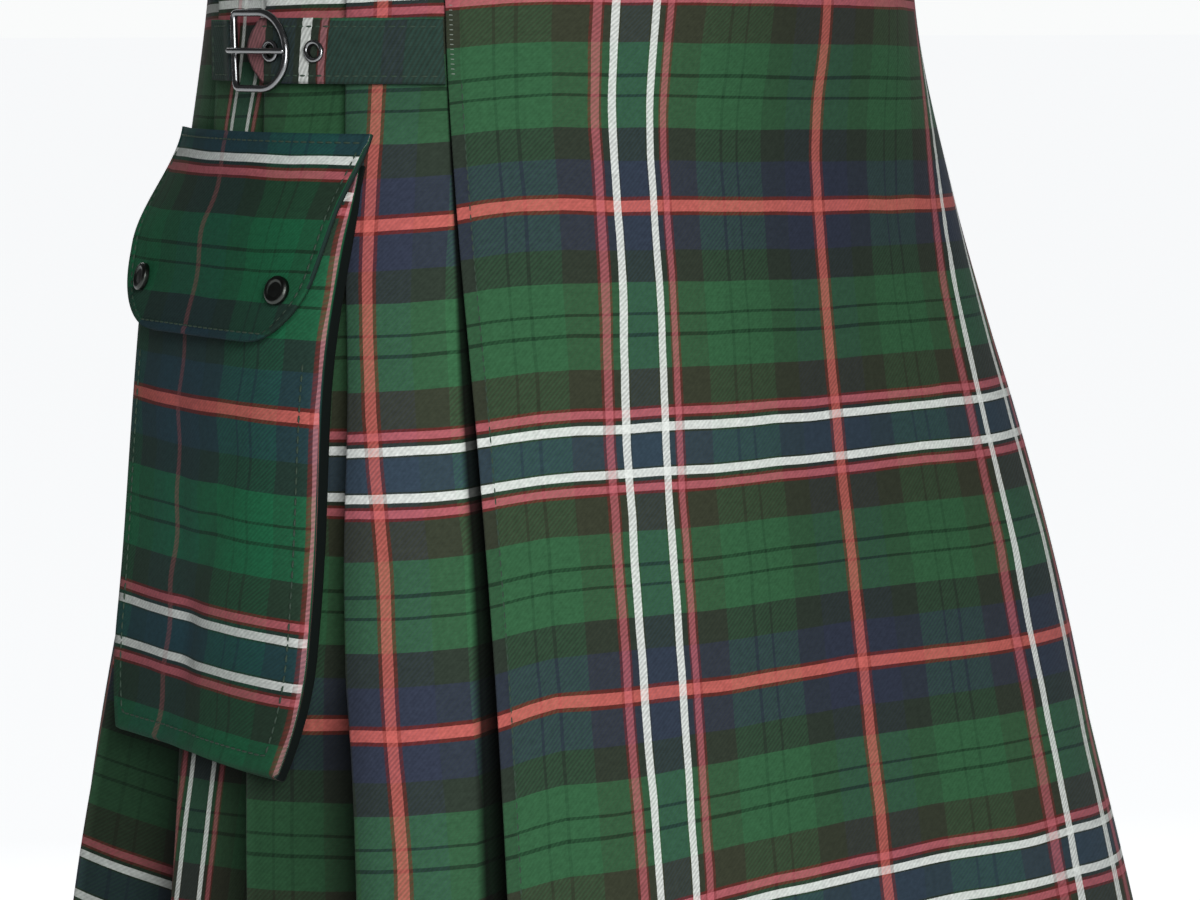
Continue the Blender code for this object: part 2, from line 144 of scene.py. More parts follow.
BUCKLE_PROUD = 0.0048
BUCKLE_BULGE = 0.013
BUCKLE_SHOULDER = 0.008
WIRE_STEP = 0.012
EYELET_RADIUS = 0.0034
EYELET_WIRE = 0.0009
EYELETS = {"eyelet_near_buckle": -0.1345, "eyelet_near_apron": -0.1135}
PRONG_WIRE = 0.0011
# The prong's way from the bar: arc and dip.
PRONG_ROUTE = ((-0.001, 0.0), (0.003, 0.0), (0.0135, 0.0012), (0.0225, 0.001), (0.028, 0.0), (0.0318, 0.0))
PRONG_END = 0.03

POCKET_TOP, POCKET_BOTTOM = -0.089, -0.309
POCKET_CENTRE_AT_TOP = -0.1617
POCKET_LEAN = 0.205
POCKET_HALF_WIDTH = 0.066
POCKET_CLOTH = 0.0022
POCKET_PROUD_FRONT, POCKET_PROUD_BACK = 0.005, 0.0102
POCKET_HEAD = 0.03
BAG_WALL = 0.0034
BAG_CORNER = 0.045
BAG_CORNER_CUT = 0.01
BAG_SEAM = BAG_WALL + 0.005
BAG_PLUMP = 0.0016
# The bag's soft creases: depth, place across, slope and its middle, width, and where they start.
BAG_CREASES = ((-0.0011, 0.25, 1.3, 0.5, 0.15, 0.3), (-0.0009, -0.55, -0.5, 0.0, 0.12, 0.2))
BAG_CREASE_GROWS = 0.3
FRONT_INDENT, INDENT_HEIGHT, INDENT_SPAN = 0.0048, -0.163, 0.052
FLAP_TOP, FLAP_BOTTOM = -0.0775, -0.1535
FLAP_CLOTH = 0.002
FLAP_HALF_WIDTH = 0.0676
FLAP_TAPER = 0.146
FLAP_CORNER = 0.026
FLAP_FLARE_FRONT, FLAP_FLARE_BACK = 0.004, 0.009
FLAP_FLARE_MIDDLE = 0.6
FLAP_DROP_HEIGHT = 0.03
FLAP_DROP_MORE_AT_BACK = 0.016
FLAP_CLEAR = FLAP_CLOTH / 2 + LAY_GAP + SEAM_GAP
FLAP_CORNER_SHARE = 0.9
FLAP_BOW, FLAP_BOW_WIDTH = 0.001, 0.28
RIM_SEAM = 0.0034
RIM_TURN, RIM_TURN_STEP = 0.0006, 0.0011
RIM_GROOVE, RIM_GROOVE_WIDTH = 0.0006, 0.0007
SNAP_RADIUS = 0.0055
SNAP_HEIGHT = 0.0026
SNAP_DRUM = 0.7
SNAP_ROUNDING = 0.0003
SNAP_LEVEL = -0.1345
SNAP_SPACING = 0.0873
SNAP_LIFT = 0.0005
# The cap's rings from its rim inwards, as shares of its radius and of its height.
SNAP_RINGS = ((0.16, 0.3), (0.16, 0.0), (0.14, -0.22), (0.3, 0.1))

STITCH_LENGTH = 0.003
STITCH_PITCH = 0.0038
STITCH_THREAD = 0.00042
STITCH_BOW = 0.35
STITCH_CLEAR, BAR_CLEAR, STRAP_STITCH_CLEAR = 0.0002, 0.0004, 0.0001
# The bar stitches at the apron's free edge: their ends in from it, and their heights.
BAR_ENDS = (0.0002, 0.004)
BAR_HEIGHTS = (-0.03, -0.056, -0.0018)
BAND_SEAM, HEM_SEAM = 0.003, 0.022

CLOSE_BY = 0.0015
FACE_SAMPLES = 14
FOLD_SAMPLES = 6
RUN_SAMPLES = 6
SKIRT_ROWS = 92

# ---------------------------------------------------------------- the tartan

HALF_REPEAT = 0.09
THREAD = 0.00047
WARP_SHARE = 0.27
CLOTH_MAP = "cloth"

# One half repeat, from the middle of the white pair to the middle of the single red line: where
# each stripe ends, and its thread.
SETT = (
    *((0.066, "navy"), (0.074, "black"), (0.107, "white"), (0.134, "black"), (0.144, "deep_red")),
    *((0.175, "crimson"), (0.187, "deep_red"), (0.33, "moss"), (0.458, "green"), (0.473, "guard")),
    *((0.543, "green"), (0.558, "guard"), (0.68, "green"), (0.815, "black"), (0.958, "blue")),
    *((0.976, "deep_red"), (1.0, "red")),
)
# Across the weft the pair's red lines lie a little nearer to the white ones.
LEVEL_SETT = (
    *SETT[:3],
    *((0.124, "black"), (0.134, "deep_red"), (0.165, "crimson"), (0.177, "deep_red")),
    *SETT[7:],
)
# The pocket's own cloth has a thinner, duller single line up it.
POCKET_SETT = (*SETT[:5], (0.175, "rose"), *SETT[6:-3], (0.983, "blue"), (1.0, "dull_red"))
# Across the strap, from its tip to the apron.
STRAP_SETT = (
    *((0.118, "rose"), (0.165, "black"), (0.29, "navy"), (0.322, "black"), (0.375, "white")),
    *((0.412, "black"), (0.42, "deep_red"), (0.452, "rose"), (0.46, "deep_red"), (0.7, "slate")),
    *((0.79, "navy"), (1.0, "slate")),
)
THREADS = {
    "navy": (0.034, 0.06, 0.086),
    "black": (0.026, 0.038, 0.027),
    "white": (0.86, 0.9, 0.86),
    "deep_red": (0.14, 0.02, 0.018),
    "red": (0.64, 0.142, 0.124),
    "crimson": (0.53, 0.132, 0.156),
    "dull_red": (0.4, 0.1, 0.115),
    "rose": (0.44, 0.17, 0.19),
    "moss": (0.04, 0.046, 0.027),
    "green": (0.036, 0.126, 0.054),
    "guard": (0.012, 0.046, 0.02),
    "blue": (0.03, 0.038, 0.064),
    "slate": (0.026, 0.098, 0.084),
}
# The pocket's dark threads are darker than the rest's.
POCKET_THREADS = {
    **THREADS,
    "navy": (0.016, 0.057, 0.072),
    "black": (0.014, 0.034, 0.028),
    "moss": (0.018, 0.04, 0.024),
    "green": (0.012, 0.116, 0.05),
    "guard": (0.007, 0.042, 0.019),
    "blue": (0.016, 0.043, 0.058),
    "dull_red": (0.25, 0.09, 0.102),
}
# How much more of the cloth's face a line's thread takes where it runs up the cloth.
RAISED = {"white": 0.5, "red": 0.34, "crimson": 0.3, "deep_red": 0.3, "dull_red": 0.16, "rose": 0.34}

# Heights of the level lines (pair 0, red 1, pair 2, red 3, pair 4) by arc distance, which is the
# first column here: the worn cloth sags towards the right hip.
APRON_LINES = (
    (-0.064, -0.016, -0.1068, -0.1962, -0.2846, -0.3722),
    (-0.053, -0.015, -0.105, -0.195, -0.2815, -0.3705),
    (-0.042, -0.0143, -0.1038, -0.1938, -0.2793, -0.3692),
    (-0.025, -0.0137, -0.1033, -0.193, -0.2792, -0.3685),
    (-0.004, -0.0135, -0.104, -0.1931, -0.2786, -0.367),
    (0.032, -0.0137, -0.1052, -0.1932, -0.2779, -0.3625),
    (0.08, -0.014, -0.1064, -0.1923, -0.2751, -0.3585),
    (0.115, -0.0145, -0.107, -0.191, -0.275, -0.357),
    (0.19, -0.016, -0.1085, -0.1914, -0.2755, -0.3555),
    (0.42, -0.02, -0.113, -0.198, -0.284, -0.369),
)
SKIRT_LINES = (
    (-0.5, -0.023, -0.112, -0.195, -0.28, -0.362),
    (-0.33, -0.024, -0.113, -0.196, -0.281, -0.3635),
    (-0.24, -0.024, -0.115, -0.2035, -0.294, -0.3818),
    (-0.121, -0.0198, -0.1122, -0.2012, -0.2914, -0.379),
    (-0.066, -0.018, -0.109, -0.1974, -0.287, -0.374),
)
PITCH_ABOVE, PITCH_BELOW = 0.0865, 0.087
# Arc distances of the front's upright lines: pair 0, red 1, pair 2.
UPRIGHTS = (
    *((0.028, 0.013, 0.101, 0.204), (-0.028, 0.0097, 0.0978, 0.201), (-0.048, 0.0074, 0.0945, 0.1963)),
    *((-0.067, 0.0056, 0.0899, 0.1896), (-0.084, 0.0054, 0.087, 0.184), (-0.1, 0.0057, 0.0862, 0.18)),
    *((-0.118, 0.0057, 0.0864, 0.1771), (-0.139, 0.0051, 0.0862, 0.1755), (-0.16, 0.0038, 0.0859, 0.1763)),
    *((-0.186, 0.0017, 0.0855, 0.179), (-0.232, 0.0002, 0.086, 0.1858), (-0.279, -0.0006, 0.087, 0.1915)),
    *((-0.346, 0.0004, 0.0908, 0.2015), (-0.582, 0.003, 0.1, 0.215)),
)
EDGE_PATTERN = -0.73
# Ends of the stripes in the front's pair, and in the left hip's pair, which is pressed wider.
PAIR_MARKS = (-0.187, -0.107, 0.107, 0.187)
WIDE_PAIR_MARKS = (1.82, 1.893, 1.926, 2.0, 2.074, 2.107, 2.18)
# How close the white lines of the front's pair lie, as a share of their place in the thread count.
PAIR_0_CLOSENESS = (
    *((-0.028, 0.94), (-0.088, 0.9), (-0.118, 0.91), (-0.15, 0.98)),
    *((-0.186, 1.0), (-0.279, 0.99), (-0.31, 0.93), (-0.582, 0.95)),
)
RED_BEFORE, RED_AFTER = 0.092, 0.08
# Half the width of the left hip's pair with its red lines, and the places of its white lines in it.
PAIR_2_SPREAD = (
    *((-0.05, 0.022), (-0.139, 0.0232), (-0.186, 0.024), (-0.232, 0.0256)),
    *((-0.3, 0.0282), (-0.346, 0.0292), (-0.582, 0.0245)),
)
WIDE_WHITE_PLACE, WIDE_WHITE_HALF, WIDE_WHITE_SHIFT = 0.503, 0.056, 0.001
WIDE_WHITE_AFTER = (0.425, 0.581)
WIDE_RED_SHIFT = 0.0012
# Pattern place at the second pleat's line of folds, and the step from each fold to the next.
FOLD_PATTERN = (
    *((-0.025, -1.37), (-0.061, -1.322), (-0.137, -1.234)),
    *((-0.19, -1.207), (-0.25, -1.19), (-0.582, -1.18)),
)
PLEAT_PATTERN_STEP = -1.5
# The first pleat hangs straighter than the rest.
FIRST_PATTERN = (
    *((-0.025, -1.16), (-0.07, -1.129), (-0.11, -1.103), (-0.15, -1.086), (-0.19, -1.11)),
    *((-0.23, -1.168), (-0.26, -1.182), (-0.3, -1.182), (-0.345, -1.198), (-0.582, -1.19)),
)
# The third pleat is pressed with its pair of lines drawn closer; it slides towards the fold.
CLOSE_PLEAT = 2
CLOSE_PLEAT_CROWDING = 1.55
CLOSE_PATTERN = (
    *((-0.025, -0.085), (-0.06, -0.06), (-0.076, -0.025), (-0.2, -0.06)),
    *((-0.3, -0.045), (-0.345, 0.02), (-0.582, 0.06)),
)
BAG_RED_EDGE, FLAP_RED_EDGE = 0.168, 0.2
BAG_PAIR_HEIGHT, FLAP_PAIR_HEIGHT = -0.0925, -0.0795
POCKET_PITCH = 0.0873
POCKET_NARROWING = 0.93
# How the pocket's upright lines stray, in from the edge, and how its level ones lean at the back.
POCKET_WAVES = ((0.0016, 75, 0.0), (0.001, 190, 1.3))
POCKET_WAVES_INWARD = 0.04
BACK_LEAN, BACK_LEAN_FROM = 0.14, 0.01
BAG_LINE_SHIFT = -0.005
FLAP_LINE_SHIFT, FLAP_LINE_SHIFT_LESS = 0.015, 0.0125
# A place in the thread count that is black both ways: painted shade beyond the pocket's front edge.
ALL_BLACK = (-0.745, 0.745)
STRAP_ROW = 0.748

# Painted shade, as tone values that darken the cloth: in the valley, in each pleat's fold, on each
# pleat's face under and behind the pocket, under the strap, across the apron and on the bag; values
# above 1 are painted light.
VALLEY_SHADE = 0.1
SUNK_SHADE, SUNK_ALL_OVER = 0.42, 0.35
PLEAT_SHADING = (1.2, 0.6, 0.63, 0.42, 0.55, 0.7, 0.84, 0.94)
STRAP_SHADE = 0.15
BESIDE_POCKET_FACE, BESIDE_POCKET_FOLD = 0.45, 0.35
APRON_SHADE_LOW, APRON_SHADE_MORE = 0.12, 0.14
BAG_TONE, BAG_TONE_DROP = 1.33, 0.27
BAG_BACK_TONE, BAG_FRONT_MORE = 0.95, 0.13
BAG_EDGE_SHADE = 0.12
# How wide the black front edge of the bag and of the flap is, painted black as shade, and the bag's
# shaded edge, where its painted shade is darkest.
BAG_BLACK_EDGE, FLAP_BLACK_EDGE, BAG_SHADED_EDGE = 0.0016, 0.0006, 0.0014

# Where something begins as the height grows or falls, and the height over which it comes on.
FOLDS_FREE_BELOW = (-0.09, 0.12)
APRON_LIFTS_BELOW = (-0.1, 0.25)
APRON_SHADE_ABOVE = (-0.3, 0.1)
STRAP_SHADE_ABOVE = (-0.085, 0.02)
SHADE_BELOW = (-0.08, 0.05)
BESIDE_POCKET_ABOVE = (-0.3, 0.03)
BAG_LINE_SHIFTS_BELOW = (-0.19, 0.05)
BAG_DARKENS_BELOW = (-0.235, 0.05)
FLAP_LINE_SHIFTS_ABOVE = (-0.108, 0.03)

# ---------------------------------------------------------------- creases

# Long soft waves in the worn cloth: arc and height at the top, arc and height at the foot, half
# width, and depth, which is negative for a trough.
CREASES = (
    # the front
    (-0.03, -0.12, -0.036, -0.6, 0.02, 0.0022),
    (0.03, -0.26, 0.045, -0.64, 0.026, -0.0046),
    (0.062, -0.3, 0.092, -0.64, 0.024, 0.004),
    (0.11, -0.23, 0.15, -0.64, 0.028, -0.005),
    (0.168, -0.29, 0.215, -0.64, 0.026, 0.0042),
    (0.232, -0.3, 0.262, -0.64, 0.032, 0.011),
    (0.212, -0.165, 0.224, -0.315, 0.03, 0.0013),
    (-0.004, -0.33, -0.006, -0.64, 0.018, 0.0024),
    (0.04, -0.04, 0.012, -0.19, 0.011, -0.0007),
    (0.115, -0.03, 0.15, -0.17, 0.014, -0.0008),
    # right hip and under the pocket
    (-0.105, -0.25, -0.112, -0.64, 0.022, 0.0026),
    (-0.205, -0.33, -0.215, -0.64, 0.026, -0.004),
    (-0.285, -0.215, -0.305, -0.64, 0.034, 0.0092),
    (-0.318, -0.195, -0.335, -0.58, 0.04, 0.0115),
    # back
    (-0.37, -0.28, -0.385, -0.64, 0.03, -0.0048),
    (-0.455, -0.21, -0.48, -0.64, 0.027, 0.0044),
    (-0.545, -0.3, -0.56, -0.64, 0.031, -0.005),
    (-0.64, -0.24, -0.67, -0.64, 0.029, 0.0046),
    # left hip
    (-0.73, -0.27, -0.76, -0.64, 0.026, -0.004),
    (-0.5, -0.045, -0.47, -0.16, 0.012, -0.0008),
    (-0.33, -0.05, -0.3, -0.15, 0.013, -0.0007),
)
CREASE_SWAY = 0.004
CREASE_FULL_AT = 0.75


def smooth(table, height):
    """A table's columns after its first one, at a height, on smooth curves through its rows."""
    rows = np.array(table)[::-1]
    heights, values = rows[:, 0], rows[:, 1:]
    slopes = np.gradient(values, heights, axis=0)
    height = min(max(height, heights[0]), heights[-1])
    row = min(int(np.searchsorted(heights, height, side="right")) - 1, len(heights) - 2)
    span = heights[row + 1] - heights[row]
    part = (height - heights[row]) / span
    rise = values[row + 1] - values[row]
    low, high = slopes[row] * span - rise, rise - slopes[row + 1] * span
    bend = part * (1 - part) * ((1 - part) * low + part * high)
    found = (values[row] + part * rise + bend).tolist()
    return found if len(found) > 1 else found[0]


def ease(part):
    part = np.clip(part, 0.0, 1.0)
    return part * part * (3 - 2 * part)


def risen(height, start, span):
    """How far a height, or another value, has risen past its start over a span, from 0 to 1."""
    return float(ease((height - start) / span))


def fallen(height, start, span):
    return float(ease((start - height) / span))


def waver(waves, height, number):
    """A sum of slow waves along the height; number shifts each by that many of its steps."""
    return sum(size * math.sin(turns * height + step * number) for size, turns, step in waves)


def bell(distance, half_width):
    return np.exp(-((distance / half_width) ** 2))


def ring(height, angle, out=0.0):
    """Points of a level ring, angle 0 at the front and growing towards the wearer's left."""
    half_width, half_depth, squareness, centre_y = smooth(RINGS, height)
    across, along = np.sin(angle), np.cos(angle)
    wide = np.abs(across / (half_width + out)) ** squareness
    deep = np.abs(along / (half_depth + out)) ** squareness
    radius = (wide + deep) ** (-1 / squareness)
    return radius * across, centre_y - radius * along


def drape(arcs, height, length):
    """The soft waves of the worn cloth at one height, as distances out from the ring."""
    out = np.zeros_like(arcs)
    for arc_top, height_top, arc_foot, height_foot, half_width, depth in CREASES:
        part = (height_top - height) / (height_top - height_foot)
        if not 0 < part < 1:
            continue
        middle = arc_top + (arc_foot - arc_top) * part + CREASE_SWAY * math.sin(9 * part + 60 * arc_top)
        open_ended = height_foot < HEM
        grown = float(ease(part / CREASE_FULL_AT)) if open_ended else math.sin(math.pi * part)
        away = (arcs - middle + length / 2) % length - length / 2
        out = out + depth * grown * bell(away, half_width)
    return out


class Level:
    """One level ring, with the angle of each arc distance."""

    def __init__(self, height):
        self.height = height
        self.angles = np.linspace(HANGING_ANGLE - math.pi, HANGING_ANGLE + math.pi, RING_SAMPLES)
        x, y = ring(height, self.angles)
        arcs = np.concatenate([[0.0], np.cumsum(np.hypot(np.diff(x), np.diff(y)))])
        self.length = float(arcs[-1])
        self.arcs = arcs - np.interp(HANGING_ANGLE, self.angles, arcs)

    def points(self, arcs, outs):
        arcs = (np.asarray(arcs, float) - self.arcs[0]) % self.length + self.arcs[0]
        outs = np.asarray(outs, float) + drape(arcs, self.height, self.length)
        angles = np.interp(arcs, self.arcs, self.angles)
        x, y = ring(self.height, angles, outs)
        return np.stack([x, y, np.full_like(x, self.height)], axis=-1)


LEVELS = {}


def level(height):
    key = round(float(height), 6)
    if key not in LEVELS:
        LEVELS[key] = Level(key)
    return LEVELS[key]


def place(arc, height, out):
    """World point at an arc distance and a height, standing out from the ring."""
    return level(height).points([arc], [out])[0]


def ring_length(height):
    return level(height).length


def layer_step(height):
    return smooth(OPENING, height)[0]


def under_apron_out(height):
    return -smooth(OPENING, height)[1]


def left_fold(height):
    return smooth(OPENING, height)[2]


# ---------------------------------------------------------------- places in the pattern


def rows_of_pattern(arcs, height, lines_table=APRON_LINES):
    """Which level line of the tartan passes at each arc distance and height."""
    arc_column, *line_columns = np.array(lines_table).T
    found = []
    for heights in np.stack([np.interp(arcs, arc_column, column) for column in line_columns], axis=-1):
        if height > heights[0]:
            found.append((heights[0] - height) / PITCH_ABOVE)
        elif height < heights[-1]:
            found.append(4 + (heights[-1] - height) / PITCH_BELOW)
        else:
            found.append(np.interp(-height, -heights, np.arange(5.0)))
    return np.array(found)


def columns_of_pattern(arcs, height):
    """Which upright line of the tartan passes at each arc distance, on the front."""
    edge = APRON_FREE_EDGE
    pair_0, red_1, pair_2 = smooth(UPRIGHTS, height)
    spread = smooth(PAIR_2_SPREAD, height)
    white, half_white = pair_2 - WIDE_WHITE_PLACE * spread - WIDE_WHITE_SHIFT, WIDE_WHITE_HALF * spread
    close = PAIR_MARKS[2] * smooth(PAIR_0_CLOSENESS, height)
    before, after = (pair_0 - edge) / -EDGE_PATTERN, red_1 - pair_0
    knots = [
        *(edge - 1.0, edge, pair_0 - (close + RED_BEFORE) * before, pair_0 - close * before),
        *(pair_0 + close * after, pair_0 + (close + RED_AFTER) * after, red_1),
        *(pair_2 - spread - WIDE_RED_SHIFT, white - half_white, white + half_white),
        *(pair_2, pair_2 + WIDE_WHITE_AFTER[0] * spread, pair_2 + WIDE_WHITE_AFTER[1] * spread),
        *(pair_2 + spread, pair_2 + 1.0),
    ]
    first, last = EDGE_PATTERN - 1.0 / HALF_REPEAT, 2.0 + 1.0 / HALF_REPEAT
    return np.interp(arcs, knots, [first, EDGE_PATTERN, *PAIR_MARKS, 1.0, *WIDE_PAIR_MARKS, last])


# ---------------------------------------------------------------- making meshes


def deselect():
    if bpy.context.mode != "OBJECT":
        bpy.ops.object.mode_set(mode="OBJECT")
    bpy.ops.object.select_all(action="DESELECT")


def make_active(made):
    deselect()
    made.select_set(True)
    bpy.context.view_layer.objects.active = made


def new_shape(name, add, **sizes):
    """A new object from one of Blender's primitives."""
    deselect()
    add(**sizes)
    made = bpy.context.active_object
    made.name = made.data.name = name
    return made


def edit_whole(made, *steps):
    """Runs mesh operators, given with their settings, each on the whole mesh."""
    make_active(made)
    bpy.ops.object.mode_set(mode="EDIT")
    for operator, settings in steps:
        bpy.ops.mesh.select_all(action="SELECT")
        operator(**settings)
    deselect()


def mend_normals(made):
    merge = (bpy.ops.mesh.remove_doubles, {"threshold": 0.00001})
    edit_whole(made, merge, (bpy.ops.mesh.normals_make_consistent, {"inside": False}))


def apply_modifiers(made):
    make_active(made)
    for modifier in list(made.modifiers):
        bpy.ops.object.modifier_apply(modifier=modifier.name)


def lay_cloth(name, steps, row_of, thickness, finish):
    """A woven sheet, with a row for each step down the cloth.

    row_of gives a row's height, arcs, outs, places across and down the pattern, and any tone values,
    which are painted shade that darkens the cloth, and painted light where above 1.
    """
    rows = [row_of(step) for step in steps]
    points = np.array([level(row[0]).points(row[1], row[2]) for row in rows])
    pattern = np.array([np.stack(row[3], axis=-1) for row in rows])
    painted_tones = np.array([row[4] if len(row) > 4 else np.ones(len(row[1])) for row in rows])
    row_count, column_count = points.shape[:2]
    divisions = {"x_subdivisions": column_count - 1, "y_subdivisions": row_count - 1}
    made = new_shape(name, bpy.ops.mesh.primitive_grid_add, size=2, **divisions)
    mesh = made.data
    flat = np.empty(len(mesh.vertices) * 3)
    mesh.vertices.foreach_get("co", flat)
    flat = flat.reshape(-1, 3)
    at_column = np.rint((flat[:, 0] + 1) / 2 * (column_count - 1)).astype(int)
    at_row = np.rint((1 - flat[:, 1]) / 2 * (row_count - 1)).astype(int)
    mesh.vertices.foreach_set("co", points[at_row, at_column].ravel())
    while mesh.uv_layers:
        mesh.uv_layers.remove(mesh.uv_layers[0])
    layer = mesh.uv_layers.new(name=CLOTH_MAP)
    corners = np.empty(len(mesh.loops), dtype=np.int32)
    mesh.loops.foreach_get("vertex_index", corners)
    layer.data.foreach_set("uv", pattern[at_row, at_column][corners].ravel())
    # The tone attribute carries the painted light and shade.
    mesh.attributes.new("tone", "FLOAT", "POINT").data.foreach_set("value", painted_tones[at_row, at_column])
    mesh.update()
    mesh.shade_smooth()
    mesh.materials.append(finish)
    wall = made.modifiers.new("Cloth", "SOLIDIFY")
    wall.thickness = thickness
    wall.offset = 0.0
    apply_modifiers(made)
    deselect()
    return made


def finish_piece(made, *nodes, slot):
    if nodes:
        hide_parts(*nodes)
    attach(made, "root")


def unit(vector):
    return vector / np.linalg.norm(vector)


def local_frame(arc, height, out):
    """A place on the garment with its directions: along the arc, up the cloth, and outwards."""
    here = place(arc, height, out)
    along = unit(place(arc + CLOSE_BY, height, out) - here)
    up = place(arc, height + CLOSE_BY, out) - here
    up = unit(up - along * np.dot(up, along))
    return here, along, up, unit(np.cross(along, up))


def move_vertices(made, where, finish):
    """Moves each vertex to where(x, y, z), and gives the mesh its finish."""
    for vertex in made.data.vertices:
        vertex.co = where(*vertex.co)
    made.data.update()
    made.data.materials.append(finish)


def seat(made, spot, lift, finish):
    """Sets a small piece, modelled round the origin, on a spot of the garment."""
    here, along, up, outward = spot
    move_vertices(made, lambda x, y, z: here + along * x + up * y + outward * (z + lift), finish)


def lengths_along(points):
    return np.concatenate([[0.0], np.cumsum(np.linalg.norm(np.diff(points, axis=0), axis=1))])


def stitch_frames(route, clear):
    """Stitches along a route of (arc, height, out) places, each as a centre and three axes."""
    route = np.array(route, float)
    lengths = lengths_along(np.array([place(*step) for step in route]))
    frames = []
    starts = np.arange(STITCH_PITCH / 2, lengths[-1] - STITCH_PITCH / 2, STITCH_PITCH)
    for start in starts if len(route) > 2 else [lengths[-1] / 2]:
        ends = [
            np.array([np.interp(start + shift, lengths, route[:, axis]) for axis in range(3)])
            for shift in (-STITCH_LENGTH / 2, STITCH_LENGTH / 2)
        ]
        middle = (ends[0] + ends[1]) / 2
        here, _, _, outward = local_frame(middle[0], middle[1], middle[2] + clear)
        lengthwise = unit(place(*ends[1]) - place(*ends[0]))
        sideways = unit(np.cross(outward, lengthwise))
        frames.append((here, np.array([lengthwise, sideways, np.cross(lengthwise, sideways)])))
    return frames


def sew(name, routes, clear, finish):
    """Rows of top-stitching in one mesh: a slightly bowed stitch, copied along each route."""
    stitch = new_shape("stitch", bpy.ops.mesh.primitive_uv_sphere_add, segments=6, ring_count=5, radius=1.0)
    for vertex in stitch.data.vertices:
        x, y, z = vertex.co
        bow = STITCH_BOW * (1 - z * z)
        vertex.co = (z * STITCH_LENGTH / 2, x * STITCH_THREAD, (y + bow - STITCH_BOW) * STITCH_THREAD)
    frames = [stitch_frame for route in routes for stitch_frame in stitch_frames(route, clear)]
    vertices = np.array([vertex.co for vertex in stitch.data.vertices], float)
    faces = [tuple(face.vertices) for face in stitch.data.polygons]
    bpy.data.objects.remove(stitch, do_unlink=True)
    all_vertices = np.concatenate([centre + vertices @ axes for centre, axes in frames])
    firsts = range(0, len(all_vertices), len(vertices))
    all_faces = [tuple(corner + first for corner in face) for first in firsts for face in faces]
    mesh = bpy.data.meshes.new(name)
    mesh.from_pydata(all_vertices.tolist(), [], all_faces)
    mesh.update()
    mesh.shade_smooth()
    made = bpy.data.objects.new(name, mesh)
    scene.collection.objects.link(made)
    mesh.materials.append(finish)
    return made


def turned_wire(name, route, radius, finish, segments, sides):
    """A closed wire: a torus whose middle line is moved on to the route of (arc, height, out) places."""
    world = np.array([place(*step) for step in route])
    closed = np.vstack([world, world[:1]])
    lengths = lengths_along(closed)
    sizes = {"major_radius": 1.0, "minor_radius": radius, "major_segments": segments, "minor_segments": sides}
    made = new_shape(name, bpy.ops.mesh.primitive_torus_add, **sizes)
    middle_arc, middle_height = (float(np.mean([step[axis] for step in route])) for axis in (0, 1))
    outward = local_frame(middle_arc, middle_height, route[0][2])[3]

    def at(share):
        share = share % 1.0 * lengths[-1]
        return np.array([np.interp(share, lengths, closed[:, axis]) for axis in range(3)])

    def where(x, y, z):
        turn = math.atan2(y, x) / (2 * math.pi)
        forward = unit(at(turn + WIRE_STEP) - at(turn - WIRE_STEP))
        side = unit(np.cross(forward, outward))
        return at(turn) + side * (math.hypot(x, y) - 1.0) + np.cross(side, forward) * z

    move_vertices(made, where, finish)
    mend_normals(made)
    made.data.shade_smooth()
    return made


# ---------------------------------------------------------------- finishes


def feed(tree, made, inputs):
    """Gives each named or numbered input of a node its number, its colour or its socket."""
    for key, value in inputs.items():
        if isinstance(value, bpy.types.NodeSocket):
            tree.links.new(value, made.inputs[key])
        else:
            made.inputs[key].default_value = value


def node(tree, kind, inputs, **settings):
    made = tree.nodes.new("ShaderNode" + kind)
    for key, value in settings.items():
        setattr(made, key, value)
    feed(tree, made, inputs)
    return made


def calc(tree, operation, *terms, clamp=False):
    """A Math node. Each term is a number or a socket."""
    return node(tree, "Math", dict(enumerate(terms)), operation=operation, use_clamp=clamp).outputs[0]


def mix_colour(tree, share, first, second):
    return node(tree, "Mix", {0: share, 6: first, 7: second}, data_type="RGBA").outputs[2]


def bump(tree, relief, strength, distance):
    return node(tree, "Bump", {"Height": relief, "Strength": strength, "Distance": distance}).outputs[0]


def new_finish(name):
    made = bpy.data.materials.new(name)
    made.use_nodes = True
    return made, made.node_tree, made.node_tree.nodes["Principled BSDF"]


def ramp(tree, place_in_sett, stops):
    made = node(tree, "ValToRGB", {0: place_in_sett})
    made.color_ramp.interpolation = "CONSTANT"
    elements = made.color_ramp.elements
    while len(elements) > 1:
        elements.remove(elements[-1])
    elements[0].position = 0.0
    elements[0].color = stops[0][1]
    for position, colour in stops[1:]:
        elements.new(position).color = colour
    return made.outputs[0]


def sett_ramps(tree, coordinate, threads, rows=SETT, mirrored=True):
    """Thread colour and raised share at a coordinate, which is counted in half repeats."""
    folded = calc(tree, "PINGPONG", coordinate, 1.0) if mirrored else coordinate
    starts = [0.0] + [row[0] for row in rows[:-1]]
    colours = [(start, (*threads[row[1]], 1.0)) for start, row in zip(starts, rows)]
    shares = [(start, (RAISED.get(row[1], 0.0),) * 3 + (1.0,)) for start, row in zip(starts, rows)]
    return ramp(tree, folded, colours), ramp(tree, folded, shares)


